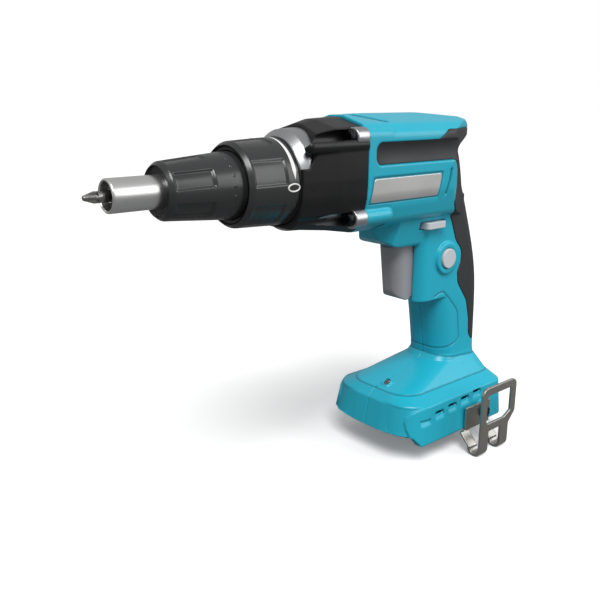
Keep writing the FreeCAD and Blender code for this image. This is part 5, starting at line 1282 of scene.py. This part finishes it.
@dataclass(frozen=True)
class Studio:
    """Pale floor, soft light and the photograph's camera."""

    floor_z: float = -13.1
    floor_reach: float = 6000.0
    floor_white: str = "#fbfbfb"
    floor_dim: str = "#7c7c7c"
    floor_lift: float = 0.16
    camera: Spot = (362.18, 302.69, 211.97)
    target: Spot = (108.0, 0.0, 101.0)
    lens: float = 42.86
    sensor: float = 36.0
    sky: float = 0.34
    walls: float = 0.45
    key: float = 2.35
    key_angle: float = 30.0
    key_place: Spot = (420.0, 440.0, 880.0)
    box: float = 6.2
    box_size: float = 900.0
    box_place: Spot = (-670.0, 910.0, 650.0)
    lamp_aim: Spot = (80.0, 0.0, 100.0)

    def floor(self) -> None:
        """Lays the floor, white to the camera and dim to everything else."""
        mesh = bpy.data.meshes.new("studio_floor")
        reach = mm(self.floor_reach)
        corners = [(-reach, -reach), (reach, -reach), (reach, reach), (-reach, reach)]
        mesh.from_pydata([(x, y, mm(self.floor_z)) for x, y in corners], [], [(0, 1, 2, 3)])
        paper = bpy.data.materials.new("studio_paper_white")
        paper.use_nodes = True
        tree = paper.node_tree
        tree.nodes.clear()
        ray = add(tree, "ShaderNodeLightPath")
        dim = add(tree, "ShaderNodeBsdfDiffuse", inputs={"Color": linear(self.floor_dim)})
        lit = add(tree, "ShaderNodeBsdfDiffuse", inputs={"Color": linear(self.floor_white)})
        glow = add(tree, "ShaderNodeEmission", inputs={"Color": WHITE, "Strength": self.floor_lift})
        white = add(tree, "ShaderNodeAddShader", inputs={0: lit.outputs[0], 1: glow.outputs[0]})
        both = add(tree, "ShaderNodeMixShader", inputs={
            0: ray.outputs["Is Camera Ray"], 1: dim.outputs[0], 2: white.outputs[0],
        })
        add(tree, "ShaderNodeOutputMaterial", inputs={"Surface": both.outputs[0]})
        mesh.materials.append(paper)
        floor = bpy.data.objects.new("studio_floor", mesh)
        bpy.context.scene.collection.objects.link(floor)

    def light(self) -> None:
        """Sets the sky, a broad key and a soft box on the tool's left."""
        world = bpy.data.worlds.new("studio_sky")
        bpy.context.scene.world = world
        world.use_nodes = True
        tree = world.node_tree
        tree.nodes.clear()
        ray = add(tree, "ShaderNodeLightPath")
        sky, walls, white = (
            add(tree, "ShaderNodeBackground", inputs={"Color": WHITE, "Strength": strength}).outputs[0]
            for strength in (self.sky, self.walls, 1.0)
        )
        mirrored = add(tree, "ShaderNodeMixShader", inputs={
            0: ray.outputs["Is Glossy Ray"], 1: sky, 2: walls,
        })
        both = add(tree, "ShaderNodeMixShader", inputs={
            0: ray.outputs["Is Camera Ray"], 1: mirrored.outputs[0], 2: white,
        })
        add(tree, "ShaderNodeOutputWorld", inputs={"Surface": both.outputs[0]})
        data = bpy.data.lights.new("studio_key", "SUN")
        data.energy = self.key
        data.angle = math.radians(self.key_angle)
        self.hang(data, self.key_place)
        data = bpy.data.lights.new("studio_box", "AREA")
        data.shape = "SQUARE"
        data.size = mm(self.box_size)
        data.energy = self.box
        self.hang(data, self.box_place)

    def hang(self, data: bpy.types.Light, place: Spot) -> None:
        """Hangs a lamp so that it shines on the tool.

        Args:
            data: The lamp.
            place: Where it hangs, in millimetres.
        """
        self.point(bpy.data.objects.new(data.name, data), place, self.lamp_aim)

    def point(self, thing: bpy.types.Object, place: Spot, aim: Spot) -> None:
        """Puts a lamp or a camera in its place and points it.

        Args:
            thing: The lamp or the camera.
            place: Where it stands, in millimetres.
            aim: What it points at, in millimetres.
        """
        thing.location = Vector(place) * mm(1.0)
        thing.rotation_euler = (Vector(aim) - Vector(place)).to_track_quat("-Z", "Y").to_euler()
        bpy.context.scene.collection.objects.link(thing)

    def look(self) -> None:
        """Sets the camera where the photograph was taken from."""
        data = bpy.data.cameras.new("photo_camera")
        data.sensor_width = self.sensor
        data.lens = self.lens
        camera = bpy.data.objects.new("photo_camera", data)
        self.point(camera, self.camera, self.target)
        bpy.context.scene.camera = camera
        bpy.context.scene.view_settings.view_transform = "Standard"

    def build(self) -> None:
        """Sets up the whole studio."""
        self.floor()
        self.light()
        self.look()


def main() -> None:
    """Builds the tool's pieces in order, then the studio."""
    logging.basicConfig(level=logging.INFO, format="%(name)s: %(message)s")
    parts = (Housing(), SoftGrip(), GearCase(), DepthNose(), Bit(), Controls(), Hook(), InnerWorks(),
             Studio())
    for part in parts:
        part.build()


if __name__ == "__main__":
    main()
